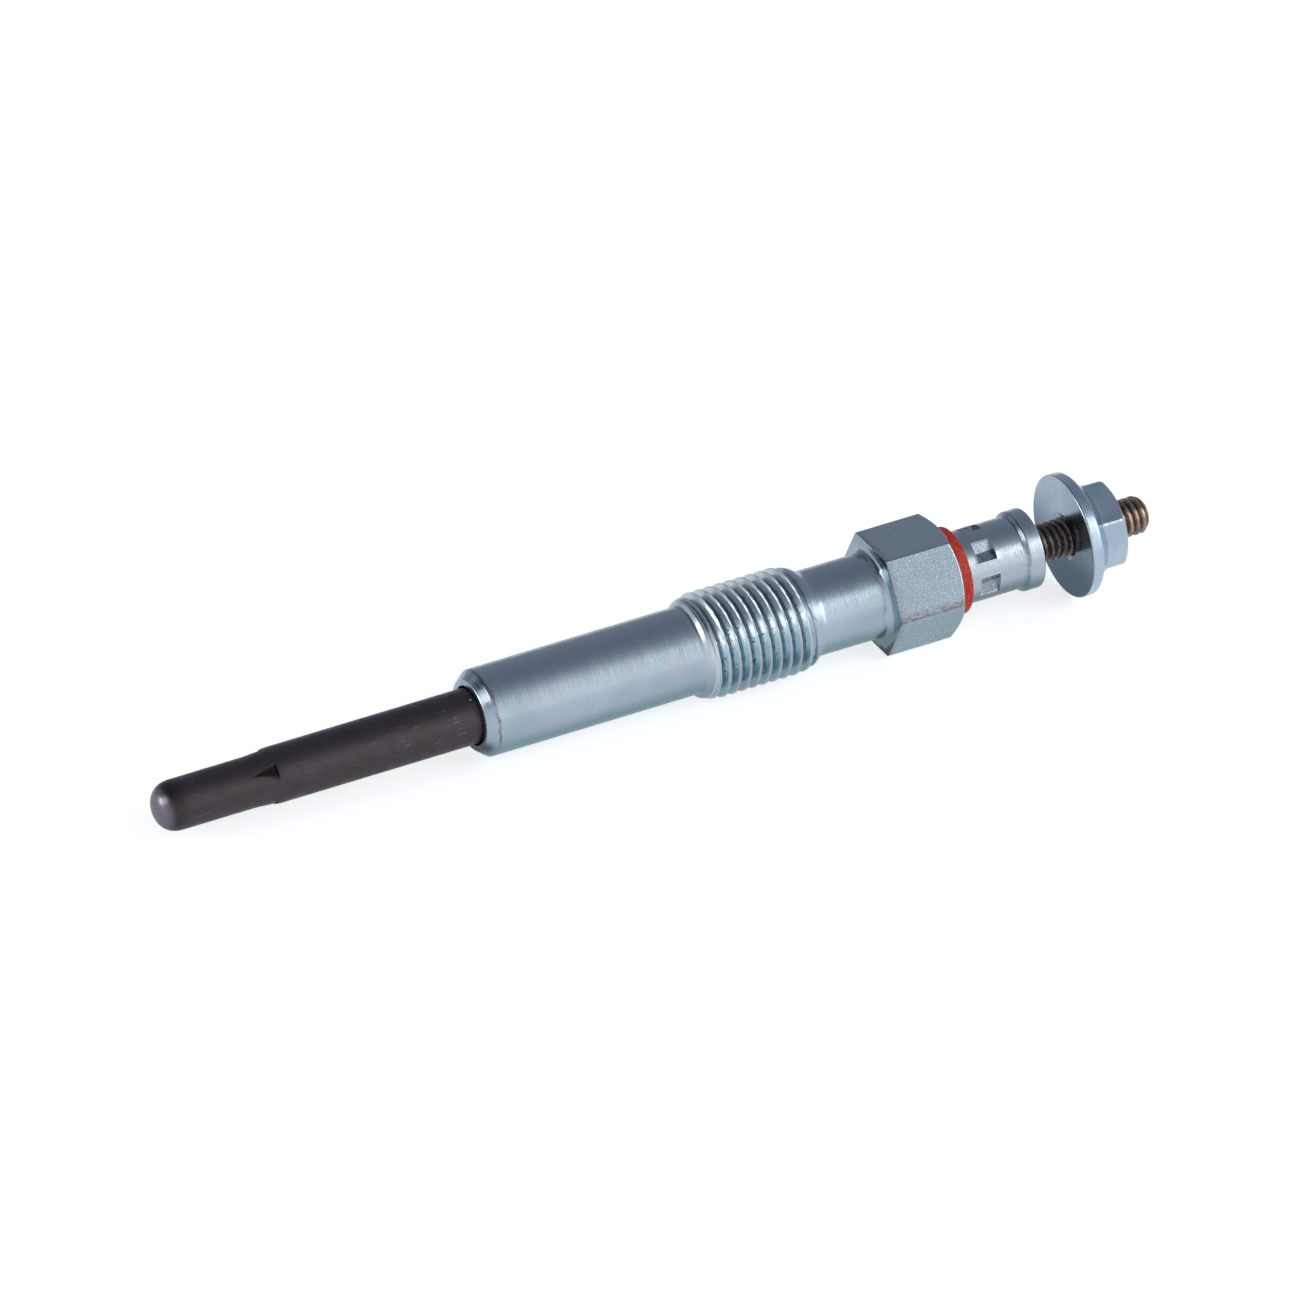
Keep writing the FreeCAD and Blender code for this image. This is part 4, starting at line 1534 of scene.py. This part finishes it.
    def build(self) -> None:
        """Build the four pieces."""
        plastic = MouldedPlastic("glass_filled_nylon_moulded_red")
        bush = TurnedZinc(
            "turned_bush_with_clear_zinc",
            clear="#c3ccd7",
            film="#b6c5ce",
            cloud="#c4c9d3",
            # painted shade: the sleeve's lower side darker and teal
            painted_under_shade="#6d868f",
            stain="#6f95a0",
            line_pitch=0.11,
            smooth=0.19,
            line_depth=0.014,
            seam=self.sleeve_back - self.collar_length - self.collar_slope / 2,
        )
        formed = FormedZinc("cold_formed_steel_with_blue_zinc", front_face=self.nut_front)
        self.seat(self.washer(), "insulating_washer", "red_insulator", [plastic])
        self.seat(self.sleeve(), "crimp_sleeve", "plated_sleeve", [bush])
        self.seat(self.stud(), "terminal_stud", "terminal_steel", [RolledSteel("rolled_bare_steel")])
        self.seat(self.nut(), "flange_nut", "plated_nut", [formed])


# Studio


@dataclass(frozen=True)
class SoftBox:
    """A rectangular lamp that faces the plug.

    Args:
        name: its name.
        centre: where it stands, mm.
        target: the point it faces, mm.
        width, height: its size, mm.
        brightness: how bright its face is, where 1 shows as white.
    """

    name: str
    centre: Triple
    target: Triple
    width: float
    height: float
    brightness: float

    def build(self) -> None:
        """Make the lamp; a flat lamp of area A shows brightness L when its power is pi * A * L."""
        lamp = bpy.data.lights.new(self.name, "AREA")
        lamp.shape = "RECTANGLE"
        lamp.size = self.width * MM
        lamp.size_y = self.height * MM
        lamp.energy = math.pi * lamp.size * lamp.size_y * self.brightness
        holder = bpy.data.objects.new(self.name, lamp)
        bpy.context.scene.collection.objects.link(holder)
        look = Vector(self.target) - Vector(self.centre)
        holder.rotation_euler = look.to_track_quat("-Z", "Y").to_euler()
        holder.location = Vector(self.centre) * MM


@dataclass
class Studio:
    """Floor, surroundings, lamps and camera."""

    axis: PlugAxis
    aim_station: float = 71.5
    azimuth: float = math.radians(-28.198)
    elevation: float = math.radians(31.543)
    distance: float = 4273.6
    sensor: float = 36.0
    focal_pixels: float = 40000.0
    picture_width: int = 1300
    aim_right: float = -10.304
    aim_up: float = -1.908
    floor_half: float = 3000.0
    floor_colour: str = "#e9ebee"
    camera_glow: float = 0.68
    mirror_glow: float = 0.36
    sky_dim: str = "#7d8591"
    sky_bright: str = "#f4f6f6"
    sky_dark: str = "#3a4250"

    def directions(self) -> tuple[np.ndarray, np.ndarray, np.ndarray]:
        """The camera's directions, with a level horizon.

        Returns:
            Its backward, right and up directions.
        """
        a, e = self.azimuth, self.elevation
        back = np.array([math.sin(a) * math.cos(e), -math.cos(a) * math.cos(e), math.sin(e)])
        right = np.array([math.cos(a), math.sin(a), 0.0])
        return back, right, np.cross(back, right)

    def camera(self) -> None:
        """Set the long lens that the nearly parallel lines of the picture call for."""
        back, right, up = self.directions()
        middle = self.axis.apex + self.aim_station * self.axis.along
        aim = middle + self.aim_right * right + self.aim_up * up
        data = bpy.data.cameras.new("camera")
        data.sensor_width = self.sensor
        data.lens = self.sensor * self.focal_pixels / self.picture_width
        data.clip_end = 100.0
        holder = bpy.data.objects.new("camera", data)
        bpy.context.scene.collection.objects.link(holder)
        turn = Matrix((right, up, back)).transposed()
        holder.matrix_world = Matrix.Translation(Vector((aim + self.distance * back) * MM)) @ turn.to_4x4()
        bpy.context.scene.camera = holder

    def floor(self) -> None:
        """A level sheet that takes the plug's shadow and shows nearly white."""
        h = self.floor_half * MM
        data = bpy.data.meshes.new("floor")
        data.from_pydata([(-h, -h, 0), (h, -h, 0), (h, h, 0), (-h, h, 0)], [], [(0, 1, 2, 3)])
        floor = bpy.data.objects.new("floor", data)
        bpy.context.scene.collection.objects.link(floor)
        material = bpy.data.materials.new("white_paper_sweep")
        material.use_nodes = True
        tree = material.node_tree
        rays = add_node(tree, "ShaderNodeLightPath", {}).outputs
        seen = {0: rays["Is Camera Ray"], 1: self.camera_glow}
        mirrored = {0: rays["Is Glossy Ray"], 1: self.mirror_glow}
        glow = {
            0: add_node(tree, "ShaderNodeMath", seen, operation="MULTIPLY").outputs[0],
            1: add_node(tree, "ShaderNodeMath", mirrored, operation="MULTIPLY").outputs[0],
        }
        paper = {
            "Base Color": linear(self.floor_colour),
            "Roughness": 0.9,
            "Specular IOR Level": 0.1,
            "Emission Color": linear("#ffffff"),
            "Emission Strength": add_node(tree, "ShaderNodeMath", glow).outputs[0],
        }
        feed(tree, tree.nodes["Principled BSDF"], paper)
        data.materials.append(material)

    def surroundings(self) -> None:
        """A room that is bright low in front and on the left, and dim above and behind.

        The share of bright is a smooth step down with height, times one from the back right of the
        room to its front left, times a small drop at the far left. A dark wall stands high on the
        left. The camera sees it white.
        """
        world = bpy.data.worlds.new("studio")
        world.use_nodes = True
        tree = world.node_tree
        board = Board(tree)
        ray = add_node(tree, "ShaderNodeTexCoord", {})
        x, y, z = add_node(tree, "ShaderNodeSeparateXYZ", {0: ray.outputs["Generated"]}).outputs
        depth = add_node(tree, "ShaderNodeMath", {0: x, 1: 0.6, 2: y}, operation="MULTIPLY_ADD").outputs[0]
        low = board.share(z, (1.15, 0.2))
        front = board.share(depth, (0.58, -0.32), (0.12, 1.0))
        far = board.share(y, (-0.5, -0.36))
        high = board.share(z, (0.22, 0.34))
        layers = [
            (board.share(x, (-0.3, -0.8), (1.0, 0.7), low, front), self.sky_bright),
            (board.share(x, (0.1, -0.4), (0.0, 1.0), high, far), self.sky_dark),
            (add_node(tree, "ShaderNodeLightPath", {}).outputs["Is Camera Ray"], "#ffffff"),
        ]
        feed(tree, tree.nodes["Background"], {"Color": board.coats(self.sky_dim, layers), "Strength": 1.0})
        bpy.context.scene.world = world

    def build(self) -> None:
        """Set up everything round the plug."""
        self.floor()
        self.surroundings()
        boxes = [
            SoftBox("key", (257.0, -220.0, 234.0), (257.0, 0.0, 7.0), 185.0, 112.0, 1.1),
            SoftBox("side", (275.0, -244.0, 181.0), (275.0, 0.0, 7.0), 112.0, 135.0, 3.8),
            SoftBox("panel", (300.0, -278.0, 119.0), (300.0, 0.0, 7.0), 190.0, 240.0, 0.6),
            SoftBox("end", (404.0, -126.0, 111.0), (18.0, 0.0, 6.0), 160.0, 140.0, 1.5),
            SoftBox("left", (-502.0, -2.0, 274.0), (-22.0, 0.0, 7.0), 280.0, 240.0, 2.3),
            SoftBox("tip", (-566.0, 190.0, 108.0), (-60.0, 0.0, 6.0), 230.0, 170.0, 5.0),
            SoftBox("back", (-336.0, 402.0, 213.0), (-22.0, 0.0, 7.0), 280.0, 240.0, 0.34),
        ]
        for box in boxes:
            box.build()
        self.camera()
        bpy.context.scene.view_settings.view_transform = "Standard"


def main(build_frame: dict[str, Any]) -> None:
    """Build the plug's sub-assemblies and the studio.
    """
    logging.basicConfig(level=logging.INFO, format="%(name)s: %(message)s")
    axis = PlugAxis.from_thread(build_frame["record"], THREAD_MIDDLE)
    housing = Housing(axis)
    for part in (GlowRod(axis), housing, Terminal(axis, housing.hex_back)):
        part.build()
    Studio(axis).build()


if __name__ == "__main__":
    main(frame)
